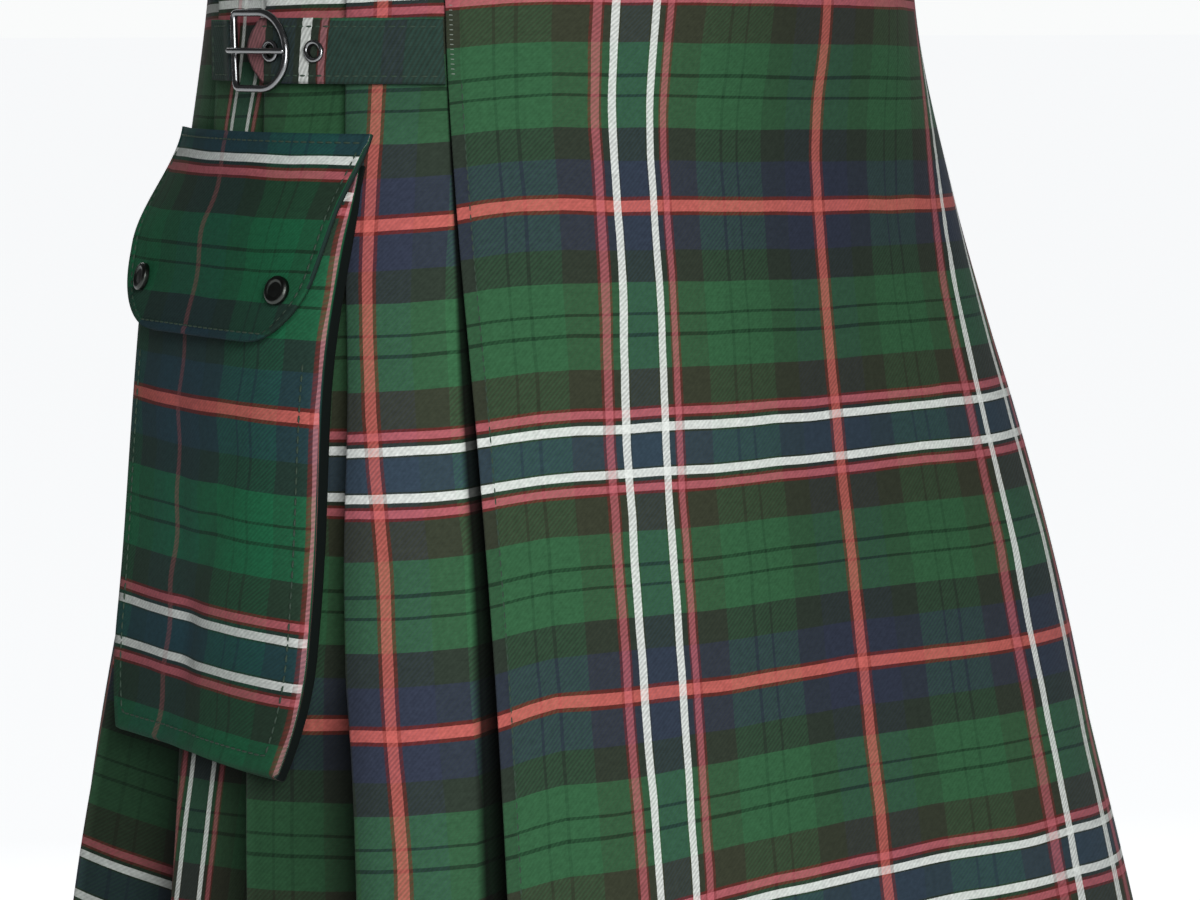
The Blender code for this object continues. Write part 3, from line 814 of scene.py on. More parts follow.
def tartan(name, shade=1.0, threads=THREADS, uprights=SETT, mirrored=True, nap=0.04):
    """Twill-woven tartan. The pattern follows the cloth's own map, in half repeats."""
    made, tree, shader = new_finish(name)
    cloth_map = node(tree, "UVMap", {}, uv_map=CLOTH_MAP).outputs[0]
    across, down = node(tree, "SeparateXYZ", {0: cloth_map}).outputs[:2]

    def noise(scale, detail, places=cloth_map):
        sizes = {"Vector": places, "Scale": scale, "Detail": detail}
        return node(tree, "TexNoise", sizes, noise_dimensions="2D").outputs[0]

    # Yarns wander a little, so that no line is ruled straight.
    most_drift = 0.007
    drift = calc(tree, "MULTIPLY_ADD", noise(2.6, 1.0), 2 * most_drift, -most_drift)
    warp_at, weft_at = calc(tree, "ADD", across, drift), calc(tree, "SUBTRACT", down, drift)
    warp_colour, warp_raised = sett_ramps(tree, warp_at, threads, uprights, mirrored)
    weft_colour, weft_raised = sett_ramps(tree, weft_at, threads, LEVEL_SETT)

    # Two over, two under: diagonal ribs.
    rib_count, rib_play, weft_holds = HALF_REPEAT / THREAD / 4, 0.11, 0.22
    rib = calc(tree, "SINE", calc(tree, "MULTIPLY", calc(tree, "ADD", across, down), rib_count * 2 * math.pi))
    share = calc(tree, "ADD", calc(tree, "MULTIPLY_ADD", rib, rib_play, WARP_SHARE), warp_raised)
    share = calc(tree, "SUBTRACT", share, calc(tree, "MULTIPLY", weft_raised, weft_holds), clamp=True)
    woven = mix_colour(tree, share, weft_colour, warp_colour)

    # Uneven yarns, blotches of nap, and the shade of each rib.
    fibres = noise(46.0, 3.0)
    slubs = noise(1.0, 2.0, node(tree, "Mapping", {0: cloth_map, "Scale": (14.0, 150.0, 1.0)}).outputs[0])
    blotches, streaks, ribbing = 0.50, 0.12, 0.05
    tone = calc(tree, "MULTIPLY_ADD", fibres, blotches, 0.76 * shade)
    tone = calc(tree, "MULTIPLY_ADD", slubs, 2 * streaks, calc(tree, "SUBTRACT", tone, streaks))
    tone = calc(tree, "MULTIPLY_ADD", rib, ribbing, tone)
    # The painted shade from the tone attribute darkens the dull ground more than the bright lines, but
    # not where it is deepest; tone values above 1 paint light.
    painted_shading = node(tree, "Attribute", {}, attribute_name="tone").outputs["Fac"]
    bright = calc(tree, "MULTIPLY", calc(tree, "MAXIMUM", warp_raised, weft_raised), 1.45)
    shallow = calc(tree, "MULTIPLY_ADD", painted_shading, 3.0, -0.55, clamp=True)
    saved = calc(tree, "MULTIPLY", bright, shallow)
    kept = calc(tree, "MULTIPLY", saved, calc(tree, "SUBTRACT", 1.0, painted_shading))
    tone = calc(tree, "MULTIPLY", tone, calc(tree, "ADD", painted_shading, kept))

    # Ribs and yarns in relief.
    yarns = calc(tree, "SINE", calc(tree, "MULTIPLY", down, HALF_REPEAT / THREAD * 2 * math.pi))
    relief = calc(tree, "MULTIPLY_ADD", yarns, 0.25, calc(tree, "MULTIPLY_ADD", rib, 0.5, fibres))
    looks = {
        "Base Color": node(tree, "VectorMath", {0: woven, 3: tone}, operation="SCALE").outputs[0],
        "Normal": bump(tree, relief, 0.32, 0.00025),
        "Roughness": 0.88,
        "Specular IOR Level": 0.12,
        "Sheen Weight": nap,
        "Sheen Roughness": 0.45,
    }
    feed(tree, shader, looks)
    return made


def speckled(tree, colour, least, sizes):
    """Noise over the object, and a colour that it darkens down to its least share."""
    places = node(tree, "TexCoord", {}).outputs["Object"]
    cloudy = node(tree, "TexNoise", {"Vector": places, **sizes}).outputs[0]
    return cloudy, mix_colour(tree, cloudy, tuple(least * part for part in colour) + (1.0,), (*colour, 1.0))


def plated(name, colour, roughness):
    """Plated wire with fine scratches and a slightly uneven gloss."""
    made, tree, shader = new_finish(name)
    cloudy, toned = speckled(tree, colour, 0.72, {"Scale": 420.0, "Detail": 3.0})
    dull = calc(tree, "MULTIPLY_ADD", cloudy, 0.22, roughness - 0.11)
    relief = bump(tree, cloudy, 0.10, 0.0002)
    feed(tree, shader, {"Base Color": toned, "Roughness": dull, "Normal": relief, "Metallic": 1.0})
    return made


def sewing_thread(name, colour):
    """Spun polyester thread, with its twist."""
    made, tree, shader = new_finish(name)
    toned = speckled(tree, colour, 0.6, {"Scale": 2400.0})[1]
    feed(tree, shader, {"Base Color": toned, "Roughness": 0.7, "Specular IOR Level": 0.3})
    return made


TARTAN = tartan("Tartan_twill")
TARTAN_UNDER = tartan("Tartan_twill_under_apron", shade=0.9)
TARTAN_POCKET = tartan("Tartan_twill_pocket", threads=POCKET_THREADS, uprights=POCKET_SETT, nap=0.01)
TARTAN_STRAP = tartan("Tartan_twill_strap", shade=0.94, uprights=STRAP_SETT, mirrored=False)
NICKEL = plated("Nickel_wire", (0.24, 0.245, 0.25), 0.22)
BLACK_NICKEL = plated("Black_nickel_cap", (0.055, 0.060, 0.055), 0.34)
# Near black: painted shade for the eyelets' holes.
EYELET_HOLE_SHADE = plated("Eyelet_hole_painted_shade", (0.010, 0.010, 0.010), 0.6)
THREAD_DARK = sewing_thread("Thread_dark_green", (0.040, 0.075, 0.050))
THREAD_PALE = sewing_thread("Thread_pale_grey", (0.300, 0.350, 0.300))

# ---------------------------------------------------------------- pleats


def fold_wander(pleat, height):
    """Each fold's edge strays a little from its line, more where the pleats hang free."""
    return fallen(height, *FOLDS_FREE_BELOW) * waver(FOLD_WAVES, height, pleat)


def pleat_edges(height):
    """Distances from the apron's free edge to each fold, going round the back."""
    total = ring_length(height) - (left_fold(height) - APRON_FREE_EDGE)
    front = min(total / PLEATS, FRONT_PLEAT_WIDTH)
    others = (total - FRONT_PLEATS * front) / (PLEATS - FRONT_PLEATS)
    widths = [front] * FRONT_PLEATS + [others] * (PLEATS - FRONT_PLEATS)
    edges = np.concatenate([[0.0], np.cumsum(widths)])
    for pleat in range(PLEATS - 1):
        edges[pleat + 1] += fold_wander(pleat, height)
    return edges


def pleat_widths(height):
    """Each pleat's width, and how far its cloth runs back under it."""
    widths = np.diff(pleat_edges(height))
    return widths, np.minimum(MOST_UNDERLAY * widths, (PLEAT_CLOTH - widths) / 2)


def underlay_depth(height, width, underlay):
    step = layer_step(height)
    return 2 * step * underlay / width + 2 * FOLD_RADIUS + 0.5 * (step - WAIST_STEP)


def return_depth(height, width, underlay, behind):
    step = layer_step(height)
    deepest = underlay_depth(height, width, underlay) + 2 * FOLD_RADIUS
    return 2 * step + (deepest - 2 * step) * behind / underlay


def half_turn(centre, out, turn):
    radius = FOLD_RADIUS
    steps = np.linspace(0.0, math.pi, FOLD_SAMPLES)
    return [(centre + turn * radius * math.sin(step), out - radius * (1 - math.cos(step))) for step in steps]


def straight(start, end, samples, bulge=0.0):
    """Points between two ends, without the ends, with a soft bulge in the middle."""
    parts = np.linspace(0.0, 1.0, samples + 2)[1:-1]
    (along, out), (far, last) = start, end
    return [
        (along + (far - along) * part, out + (last - out) * part + bulge * 4 * part * (1 - part))
        for part in parts
    ]


def fold_place(pleat, height):
    """Place in the pattern at a pleat's fold, and how closely the pattern is drawn across the pleat."""
    if pleat == 0:
        return smooth(FIRST_PATTERN, height), 1.0
    at_fold = smooth(FOLD_PATTERN, height) + PLEAT_PATTERN_STEP * pleat
    if pleat == CLOSE_PLEAT:
        return at_fold + smooth(CLOSE_PATTERN, height), CLOSE_PLEAT_CROWDING
    return at_fold, 1.0


def first_face(left, fold, height, lift):
    """The first pleat's face: from under the apron down into the valley, up its side, and on to the fold."""
    gap, deep = smooth(VALLEY, height)
    before = (-TUCK + SEAM_GAP, under_apron_out(height))
    brink, floor = (left + gap, lift - VALLEY_BRINK), (left + VALLEY_FLOOR * gap, lift - deep)
    down, up = (floor[0] - before[0], floor[1] - before[1]), (brink[0] - floor[0], brink[1] - floor[1])
    face, in_valley = [before], VALLEY_DOWN + VALLEY_UP
    for part in np.linspace(0, 1, VALLEY_DOWN + 1)[1:]:
        face.append((before[0] + down[0] * part, before[1] + down[1] * float(ease(part))))
    for part in np.linspace(0, 1, VALLEY_UP + 1)[1:]:
        face.append((floor[0] + up[0] * part**VALLEY_BEND, floor[1] + up[1] * part))
    face += straight(brink, fold, FACE_SAMPLES - in_valley, FIRST_FACE_BULGE)
    # The valley is painted near black as shade, and the rest of the first pleat is painted lighter.
    return face, np.array([VALLEY_SHADE] * in_valley + [PLEAT_SHADING[0]] * (FACE_SAMPLES + 1 - in_valley))


def pleat_face(pleat, left, width, fold, height, lift):
    """A pleat's face from where it emerges to its fold, and its painted shade."""
    step = layer_step(height)
    emerge = (left + EMERGES_AT * width, lift - 2 * step * FACE_SEEN)
    face = [emerge, *straight(emerge, fold, FACE_SAMPLES, FACE_BULGE * min(1.0, step / FULL_BULGE_STEP))]
    # Painted shade: on each pleat near the pocket, and in a fold's shadow where each face comes out from
    # under the one before.
    in_shade = fallen(height, *SHADE_BELOW)
    own_shading = 1 - in_shade * (1 - PLEAT_SHADING[pleat]) if pleat < len(PLEAT_SHADING) else 1.0
    sunk_shade = 1 - (1 - SUNK_SHADE) * (SUNK_ALL_OVER + (1 - SUNK_ALL_OVER) * in_shade)
    # Beside the foot of the pocket the second pleat's painted shade is lighter.
    if pleat == 1:
        beside_pocket = risen(height, *BESIDE_POCKET_ABOVE)
        own_shading += BESIDE_POCKET_FACE * beside_pocket * in_shade
        sunk_shade += BESIDE_POCKET_FOLD * beside_pocket * in_shade
    return face, own_shading * (sunk_shade + (1 - sunk_shade) * ease(np.linspace(0.0, 1.1, FACE_SAMPLES + 1)))


def skirt_row(height):
    """The pleated cloth at one height."""
    edges = pleat_edges(height)
    widths, underlays = pleat_widths(height)
    lift = -CLOTH / 2
    section, pattern, painted_tones = [], [], []
    for pleat, (width, underlay) in enumerate(zip(widths, underlays)):
        left, right = edges[pleat], edges[pleat + 1]
        outer = half_turn(right - FOLD_RADIUS, lift, 1)
        if pleat == 0:
            face, shades = first_face(left, outer[0], height, lift)
        else:
            face, shades = pleat_face(pleat, left, width, outer[0], height, lift)
        # Painted shadow of the strap on the front pleats' tops.
        if pleat < FRONT_PLEATS:
            shades = shades * (1 - STRAP_SHADE * risen(height, *STRAP_SHADE_ABOVE))
        inner = half_turn(right - underlay + FOLD_RADIUS, lift - underlay_depth(height, width, underlay), -1)
        is_last = pleat == PLEATS - 1
        behind = TUCK if is_last else BEHIND_NEXT
        last = (right - behind, lift - return_depth(height, width, underlay, behind))
        under = [*outer, *straight(outer[-1], inner[0], RUN_SAMPLES), *inner]
        under += [*straight(inner[-1], last, RUN_SAMPLES), last]
        fold_pattern, crowding = fold_place(pleat, height)
        face_length = np.abs(np.diff([spot[0] for spot in face] + [outer[0][0]]))
        pattern += list(fold_pattern + crowding * np.cumsum(face_length[::-1])[::-1] / HALF_REPEAT)
        gone = np.concatenate([[0.0], np.cumsum(np.hypot(*np.diff(np.array(under), axis=0).T))])
        if is_last:
            pattern += list(fold_pattern - gone / HALF_REPEAT)
        else:
            next_fold, next_crowding = fold_place(pleat + 1, height)
            next_start = next_fold + FACE_SEEN * next_crowding * widths[pleat + 1] / HALF_REPEAT
            pattern += list(fold_pattern - (fold_pattern - next_start) * gone / (gone[-1] + 0.004))
        section += face + under
        painted_tones += [*shades, *[1.0] * len(under)]
    distances, outs = np.array(section).T
    arcs = APRON_FREE_EDGE - distances
    places = (np.array(pattern), rows_of_pattern(arcs, height, SKIRT_LINES))
    return height, arcs, outs, places, np.array(painted_tones)


def free_heights(count):
    return np.linspace(WAIST_SEAM - SEAM_GAP, HEM, count)


def build_skirt():
    made = lay_cloth("skirt_knife_pleats", free_heights(SKIRT_ROWS), skirt_row, CLOTH, TARTAN)
    finish_piece(made, "skirt_pleated", slot="tartan")


# ---------------------------------------------------------------- aprons


def apron_sunk(arcs, height):
    """How deep the outer apron lies where it runs in under the last pleat's fold."""
    widths, underlays = pleat_widths(height)
    width, underlay = float(widths[-1]), float(underlays[-1])
    behind = np.asarray(arcs) - left_fold(height)
    part = behind / width + 1
    slope = APRON_END_SLOPE
    soft = np.where(part < slope, np.maximum(part + slope, 0.0) ** 2 / (4 * slope), part)
    sunk = 2 * layer_step(height) * soft
    return np.where(behind > 0, return_depth(height, width, underlay, np.maximum(behind, 0.0)), sunk)


def apron_face(arcs, height):
    """The outer apron's mid surface: its free edge is turned under, sewn down and lifts a little."""
    inward = np.asarray(arcs) - APRON_FREE_EDGE
    lifted = APRON_LIFT * fallen(height, *APRON_LIFTS_BELOW) * bell(inward, APRON_LIFT_WIDTH)
    turned = EDGE_TURN * (1 - ease((inward - EDGE_SEAM) / EDGE_TURN_STEP))
    groove = -EDGE_GROOVE * bell(inward - EDGE_SEAM, EDGE_GROOVE_WIDTH)
    return -CLOTH / 2 - apron_sunk(arcs, height) + lifted + turned + groove


def apron_row(height):
    parts = np.concatenate([np.linspace(0.0, 0.030, 19), np.linspace(0.030, 1.0, 84)[1:]])
    end = left_fold(height) + TUCK - LAY_GAP
    arcs = APRON_FREE_EDGE + (end - APRON_FREE_EDGE) * parts
    # Painted shade across the apron, darker towards the wearer's left and more so higher up.
    shade = APRON_SHADE_LOW + APRON_SHADE_MORE * risen(height, *APRON_SHADE_ABOVE)
    painted_tones = 1 - shade * ease((arcs - 0.005) / 0.080)
    places = (columns_of_pattern(arcs, height), rows_of_pattern(arcs, height))
    return height, arcs, apron_face(arcs, height), places, painted_tones


def build_apron_outer():
    made = lay_cloth("apron_front", free_heights(130), apron_row, CLOTH, TARTAN)
    finish_piece(made, "apron_outer", slot="tartan")


def under_apron_row(height):
    begin, end = APRON_FREE_EDGE + TUCK, left_fold(height) - UNDER_APRON_SHORT
    arcs = begin + (end - begin) * np.linspace(0.0, 1.0, 60)
    sunk = ease((arcs - end + UNDER_TURN_IN) / UNDER_TURN_IN) * UNDER_TURN_STEPS * layer_step(height)
    places = (arcs / HALF_REPEAT + 0.4, rows_of_pattern(arcs, height))
    return height, arcs, under_apron_out(height) - sunk, places


def build_apron_under():
    made = lay_cloth("apron_beneath", free_heights(64), under_apron_row, CLOTH, TARTAN_UNDER)
    finish_piece(made, "apron_under", slot="tartan")


# ---------------------------------------------------------------- waistband, strap and tab


def band_out(distance):
    outer = BAND_PROUD - BAND_CLOTH / 2
    inner = outer - BAND_CLOTH - BAND_LAP_GAP
    return inner + (outer - inner) * ease((distance - BAND_LAP_START) / (BAND_LAP_END - BAND_LAP_START))


def build_waistband():
    """One strip wound once round and lapped."""
    begin = APRON_FREE_EDGE - left_fold(WAIST_SEAM) + UNDER_APRON_SHORT
    whole = ring_length(WAIST_SEAM)
    end = whole + BAND_OVER
    distances = np.linspace(begin, end, 300)
    arcs = APRON_FREE_EDGE - distances
    wrapped = np.clip((arcs + BAND_WRAP) % whole - BAND_WRAP, *CHARTED_ARCS)
    across = (whole - distances) / HALF_REPEAT + EDGE_PATTERN

    def band_row(height):
        return height, arcs, band_out(distances), (across, rows_of_pattern(wrapped, height))

    made = lay_cloth("waistband_cloth", np.linspace(TOP_EDGE, WAIST_SEAM, 15), band_row, BAND_CLOTH, TARTAN)
    finish_piece(made, "waistband", slot="tartan")


def strap_pattern(arcs, height):
    """The strap's cloth is cut with a white line across it, and a red one at its tip."""
    above = height - STRAP_MID_HEIGHT
    across = (arcs - STRAP_TIP - STRAP_SLANT * above) / HALF_REPEAT
    return across, np.full_like(arcs, STRAP_ROW - 0.5 * above / HALF_REPEAT)


def strap_row(part):
    """The strap at a share of its half width: its tip is cut off at the corners, its seams are sunk."""
    height = STRAP_MID_HEIGHT + part * STRAP_WIDTH / 2
    arcs = np.linspace(APRON_FREE_EDGE - SEAM_GAP, STRAP_TIP, 60)
    arcs = arcs + STRAP_TIP_CUT * abs(part) ** 1.6 * ease((STRAP_TIP_FROM - arcs) / STRAP_TIP_LENGTH)
    edge = STRAP_EDGE_DROP * (1 - abs(part) ** 8)
    seam = STRAP_SEAM_DEPTH * (1 - math.exp(-(((abs(part) - STRAP_SEAM) / STRAP_SEAM_WIDTH) ** 2)))
    out = STRAP_CLOTH / 2 + LAY_GAP + edge + seam - STRAP_SETTLED
    return height, arcs, out, strap_pattern(arcs, height)


def build_strap():
    made = lay_cloth("strap_cloth", np.linspace(1.0, -1.0, 17), strap_row, STRAP_CLOTH, TARTAN_STRAP)
    finish_piece(made, "strap", slot="tartan_strap")


def tab_out(arcs):
    return STRAP_CLOTH / 2 + LAY_GAP + TAB_LIFT * (1 - ease((TAB_START - arcs) / TAB_LIFT_LENGTH))


def tab_row(part):
    height = STRAP_MID_HEIGHT + part * TAB_WIDTH / 2
    arcs = np.linspace(TAB_START, TAB_END, 20)
    return height, arcs, tab_out(arcs), strap_pattern(arcs + TAB_CUT_FROM, height)


def build_tab():
    made = lay_cloth("tab_cloth", np.linspace(1.0, -1.0, 13), tab_row, STRAP_CLOTH, TARTAN_STRAP)
    finish_piece(made, "buckle_tab", slot="tartan_strap")


# ---------------------------------------------------------------- buckle and eyelets


def build_buckle_frame():
    """An upright bar with rounded ends, two straight shoulders and a bulging arc."""
    half = BUCKLE_HALF_HEIGHT
    ends = [(0.0006, 0.96 * half), (0.0022, half), (BUCKLE_SHOULDER, half)]
    outline = [(BUCKLE_BAR, side * half) for side in np.linspace(-0.86, 0.86, 9)]
    outline += [(BUCKLE_BAR + along, up) for along, up in ends]
    for turn in np.linspace(math.pi / 2, -math.pi / 2, 21):
        outline.append((BUCKLE_ARC - BUCKLE_BULGE * (1 - math.cos(turn)), half * math.sin(turn)))
    outline += [(BUCKLE_BAR + along, -up) for along, up in ends[::-1]]
    route = [(arc, STRAP_MID_HEIGHT + height, BUCKLE_PROUD) for arc, height in outline]
    made = turned_wire("buckle_wire_frame", route, BUCKLE_WIRE, NICKEL, 128, 16)
    finish_piece(made, "buckle_frame", slot="nickel")


def build_prong():
    """A wire bent along its route, cut into short lengths, with slimmer ends."""
    over = BUCKLE_PROUD + BUCKLE_WIRE + PRONG_WIRE + SEAM_GAP
    arcs = [BUCKLE_BAR + along for along, _ in PRONG_ROUTE]
    outs = [over - dip for _, dip in PRONG_ROUTE]
    body = {"vertices": 16, "radius": PRONG_WIRE, "depth": 1.0}
    prong = new_shape("buckle_pin", bpy.ops.mesh.primitive_cylinder_add, end_fill_type="NGON", **body)
    cuts = (0.5 - PRONG_END, *np.linspace(PRONG_END - 0.5, 0.44, 22))
    planes = [{"plane_co": (0, 0, float(cut)), "plane_no": (0, 0, 1)} for cut in cuts]
    edit_whole(prong, *((bpy.ops.mesh.bisect, plane) for plane in planes))

    def where(x, y, z):
        arc = arcs[0] + (arcs[-1] - arcs[0]) * (z + 0.5)
        end = min(1.0, (0.5 - abs(z)) / PRONG_END)
        slim = 0.55 + 0.45 * math.sqrt(max(end, 0.0)) if abs(z) > 0.5 - PRONG_END else 1.0
        here, _, up, outward = local_frame(arc, STRAP_MID_HEIGHT, float(np.interp(arc, arcs, outs)))
        return here + up * x * slim + outward * y * slim

    move_vertices(prong, where, NICKEL)
    mend_normals(prong)
    prong.data.shade_smooth()
    finish_piece(prong, "buckle_prong", slot="nickel")


def build_eyelets():
    out = STRAP_CLOTH + LAY_GAP + SEAM_GAP + EYELET_WIRE
    for name, arc in EYELETS.items():
        turns = np.linspace(0.0, 2 * math.pi, 40, endpoint=False)
        around = [(EYELET_RADIUS * math.cos(turn), EYELET_RADIUS * math.sin(turn)) for turn in turns]
        route = [(arc + along, STRAP_MID_HEIGHT + up, out) for along, up in around]
        rim = turned_wire(name + "_rolled_rim", route, EYELET_WIRE, NICKEL, 48, 12)
        finish_piece(rim, name, slot="nickel")
        # A near black disc in each eyelet: painted shade in place of the hole through the strap.
        circle = {"vertices": 32, "radius": EYELET_RADIUS - 0.0002}
        hole = new_shape(name + "_hole", bpy.ops.mesh.primitive_circle_add, fill_type="NGON", **circle)
        edit_whole(hole, (bpy.ops.mesh.inset, {"thickness": 0.0010, "depth": -0.0004}))
        seat(hole, local_frame(arc, STRAP_MID_HEIGHT, STRAP_CLOTH + LAY_GAP + 0.0005), 0.0, EYELET_HOLE_SHADE)
        finish_piece(hole, slot="nickel")


# ---------------------------------------------------------------- pocket


def pocket_centre(height):
    return POCKET_CENTRE_AT_TOP - POCKET_LEAN * (POCKET_TOP - height)


def pocket_pattern(aside, height, pair_height, front_edge, start, shift):
    """The pocket's cloth, counted from its front edge; beyond that edge it is plain black, as painted shade.
    """
    inward = front_edge - aside
    eased_in = (shift + waver(POCKET_WAVES, height, 1)) * ease(inward / POCKET_WAVES_INWARD)
    column = start + (np.maximum(inward, 0.0) + eased_in) * POCKET_NARROWING / HALF_REPEAT
    lean = BACK_LEAN * np.maximum(-aside - BACK_LEAN_FROM, 0.0) * (height < FLAP_BOTTOM)
    row = (pair_height - height) / POCKET_PITCH + lean
    return np.where(inward < 0, ALL_BLACK[0], -column), np.where(inward < 0, ALL_BLACK[1], row)


def pocket_proud(across):
    """How full the bag is; its back stands off the hip more than its front."""
    return POCKET_PROUD_FRONT + (POCKET_PROUD_BACK - POCKET_PROUD_FRONT) * ((1 - across) / 2) ** 2


def pocket_out(across, height):
    """How far the bag's outer face stands out; across runs from -1 to 1."""
    side = np.sqrt(ease((1 - np.abs(across)) * POCKET_HALF_WIDTH / BAG_WALL))
    foot = math.sqrt(risen(height, POCKET_BOTTOM, BAG_WALL))
    head = fallen(height, POCKET_TOP, POCKET_HEAD)
    down = (POCKET_TOP - height) / (POCKET_TOP - POCKET_BOTTOM)
    plump = BAG_PLUMP * (1 - across**2) * math.sin(math.pi * down)
    sag = sum(
        depth * bell(across - at + slope * (down - middle), width) * risen(down, start, BAG_CREASE_GROWS)
        for depth, at, slope, middle, width, start in BAG_CREASES
    )
    return (pocket_proud(across) + plump + sag) * np.minimum(side, foot) * head


def bag_half_width(height):
    """The bag's half width; its lower corners are cut off a little."""
    above = height - POCKET_BOTTOM
    return POCKET_HALF_WIDTH - BAG_CORNER_CUT * max(0.0, 1 - above / BAG_CORNER) ** 2


def front_indent(height):
    """The pocket's front edge is drawn in a little, most under the flap."""
    return FRONT_INDENT * math.exp(-(((height - INDENT_HEIGHT) / INDENT_SPAN) ** 2))


def bag_places(sides, height):
    """Distances from the bag's middle line; sides run from -1 at its back to 1 at its front edge."""
    half = bag_half_width(height)
    return np.where(sides > 0, sides * (half - front_indent(height)), sides * half)


def bag_row(height):
    wall = BAG_WALL / POCKET_HALF_WIDTH
    close = wall * np.linspace(0, 1, 9) ** 1.3
    sides = np.concatenate([-1 + close, np.linspace(-1 + wall, 1 - wall, 44)[1:-1], 1 - close[::-1]])
    asides = bag_places(sides, height)
    outs = POCKET_CLOTH / 2 + LAY_GAP + pocket_out(sides, height)
    shift = BAG_LINE_SHIFT * fallen(height, *BAG_LINE_SHIFTS_BELOW)
    # The bag's front edge, and its side wall beyond it, are painted black as shade.
    front_edge = asides[-1] - BAG_BLACK_EDGE
    pattern = pocket_pattern(asides, height, BAG_PAIR_HEIGHT, front_edge, BAG_RED_EDGE, shift)
    # Painted light and shade on the bag: brightened, less towards its foot and its back, and darkest along
    # its front edge.
    bag_painted_shading = BAG_TONE - BAG_TONE_DROP * fallen(height, *BAG_DARKENS_BELOW)
    bag_painted_shading = bag_painted_shading * (BAG_BACK_TONE + BAG_FRONT_MORE * (asides - asides[0]) / (asides[-1] - asides[0]))
    painted_tones = np.where(asides > asides[-1] - BAG_SHADED_EDGE, BAG_EDGE_SHADE, bag_painted_shading)
    return height, pocket_centre(height) + asides, outs, pattern, painted_tones


def build_pocket_bag():
    wall_heights = POCKET_BOTTOM + BAG_WALL * np.linspace(1, 0, 9) ** 1.3
    heights = np.concatenate([np.linspace(POCKET_TOP, POCKET_BOTTOM + BAG_WALL, 66)[:-1], wall_heights])
    made = lay_cloth("pocket_bag_cloth", heights, bag_row, POCKET_CLOTH, TARTAN_POCKET)
    finish_piece(made, "pocket_bag", slot="tartan_pocket")


def flap_straight_half(height):
    return FLAP_HALF_WIDTH - FLAP_TAPER * (FLAP_TOP - height)


def flap_half_width(height):
    """The flap's half width: it narrows downwards, and round its lower corners."""
    above = height - FLAP_BOTTOM
    if above >= FLAP_CORNER:
        return flap_straight_half(height)
    part = 1 - above / FLAP_CORNER
    round_corner = FLAP_CORNER_SHARE * FLAP_CORNER * (1 - math.sqrt(max(0.0, 1 - part**2)))
    return flap_straight_half(height) - round_corner


def flap_out(aside, height):
    """The mid surface of the flap, over the bag and flaring at its foot; aside is from its middle line."""
    across = aside / POCKET_HALF_WIDTH
    down = (FLAP_TOP - height) / (FLAP_TOP - FLAP_BOTTOM)
    drop_height = FLAP_DROP_HEIGHT + FLAP_DROP_MORE_AT_BACK * (1 - across) / 2
    over_bag = ease((FLAP_TOP - height) / drop_height) * (POCKET_CLOTH + pocket_proud(across))
    flare = FLAP_FLARE_FRONT + (FLAP_FLARE_BACK - FLAP_FLARE_FRONT) * (1 - across) / 2
    bowed = FLAP_FLARE_MIDDLE + (1 - FLAP_FLARE_MIDDLE) * across**2
    standing = FLAP_CLEAR + over_bag + flare * down**2 * bowed
    return standing + FLAP_BOW * bell(across + 0.30 - 0.3 * down, FLAP_BOW_WIDTH) * math.sin(math.pi * down)


def flap_places(asides, height):
    """Distances from the flap's middle line, with its front edge drawn in."""
    half = flap_half_width(height)
    return asides - front_indent(height) * np.maximum(asides / half, 0.0) ** 2


def flap_face(aside, height):
    """The flap's surface, thicker where its edge is turned under, with a groove along the seam."""
    half = flap_half_width(height)
    inward = np.minimum(half - np.abs(aside), max(height - FLAP_BOTTOM, 0.0) + 0.0006)
    turned = RIM_TURN * (1 - ease((inward - RIM_SEAM) / RIM_TURN_STEP))
    groove = -RIM_GROOVE * bell(inward - RIM_SEAM, RIM_GROOVE_WIDTH)
    return flap_out(aside, height) + turned + groove


def flap_row(drop):
    near = np.linspace(0.0, 0.10, 12)
    sides = np.concatenate([-1 + near, np.linspace(-0.90, 0.90, 46)[1:-1], 1 - near[::-1]])
    height = FLAP_TOP + (FLAP_BOTTOM - FLAP_TOP) * float(drop)
    flat_asides = sides * flap_half_width(height)
    asides = flap_places(flat_asides, height)
    front_edge = flap_straight_half(height) - front_indent(height) - FLAP_BLACK_EDGE
    shift = FLAP_LINE_SHIFT - FLAP_LINE_SHIFT_LESS * risen(height, *FLAP_LINE_SHIFTS_ABOVE)
    pattern = pocket_pattern(asides, height, FLAP_PAIR_HEIGHT, front_edge, FLAP_RED_EDGE, shift)
    return height, pocket_centre(height) + asides, flap_face(flat_asides, height), pattern


def build_flap():
    stretches = ((0.0, 0.60, 26), (0.60, 0.90, 22), (0.90, 1.0, 14))
    drops = np.concatenate([[0.0], *(np.linspace(*stretch)[1:] for stretch in stretches)])
    made = lay_cloth("pocket_flap_cloth", drops, flap_row, FLAP_CLOTH, TARTAN_POCKET)
    finish_piece(made, "pocket_flap", slot="tartan_pocket")


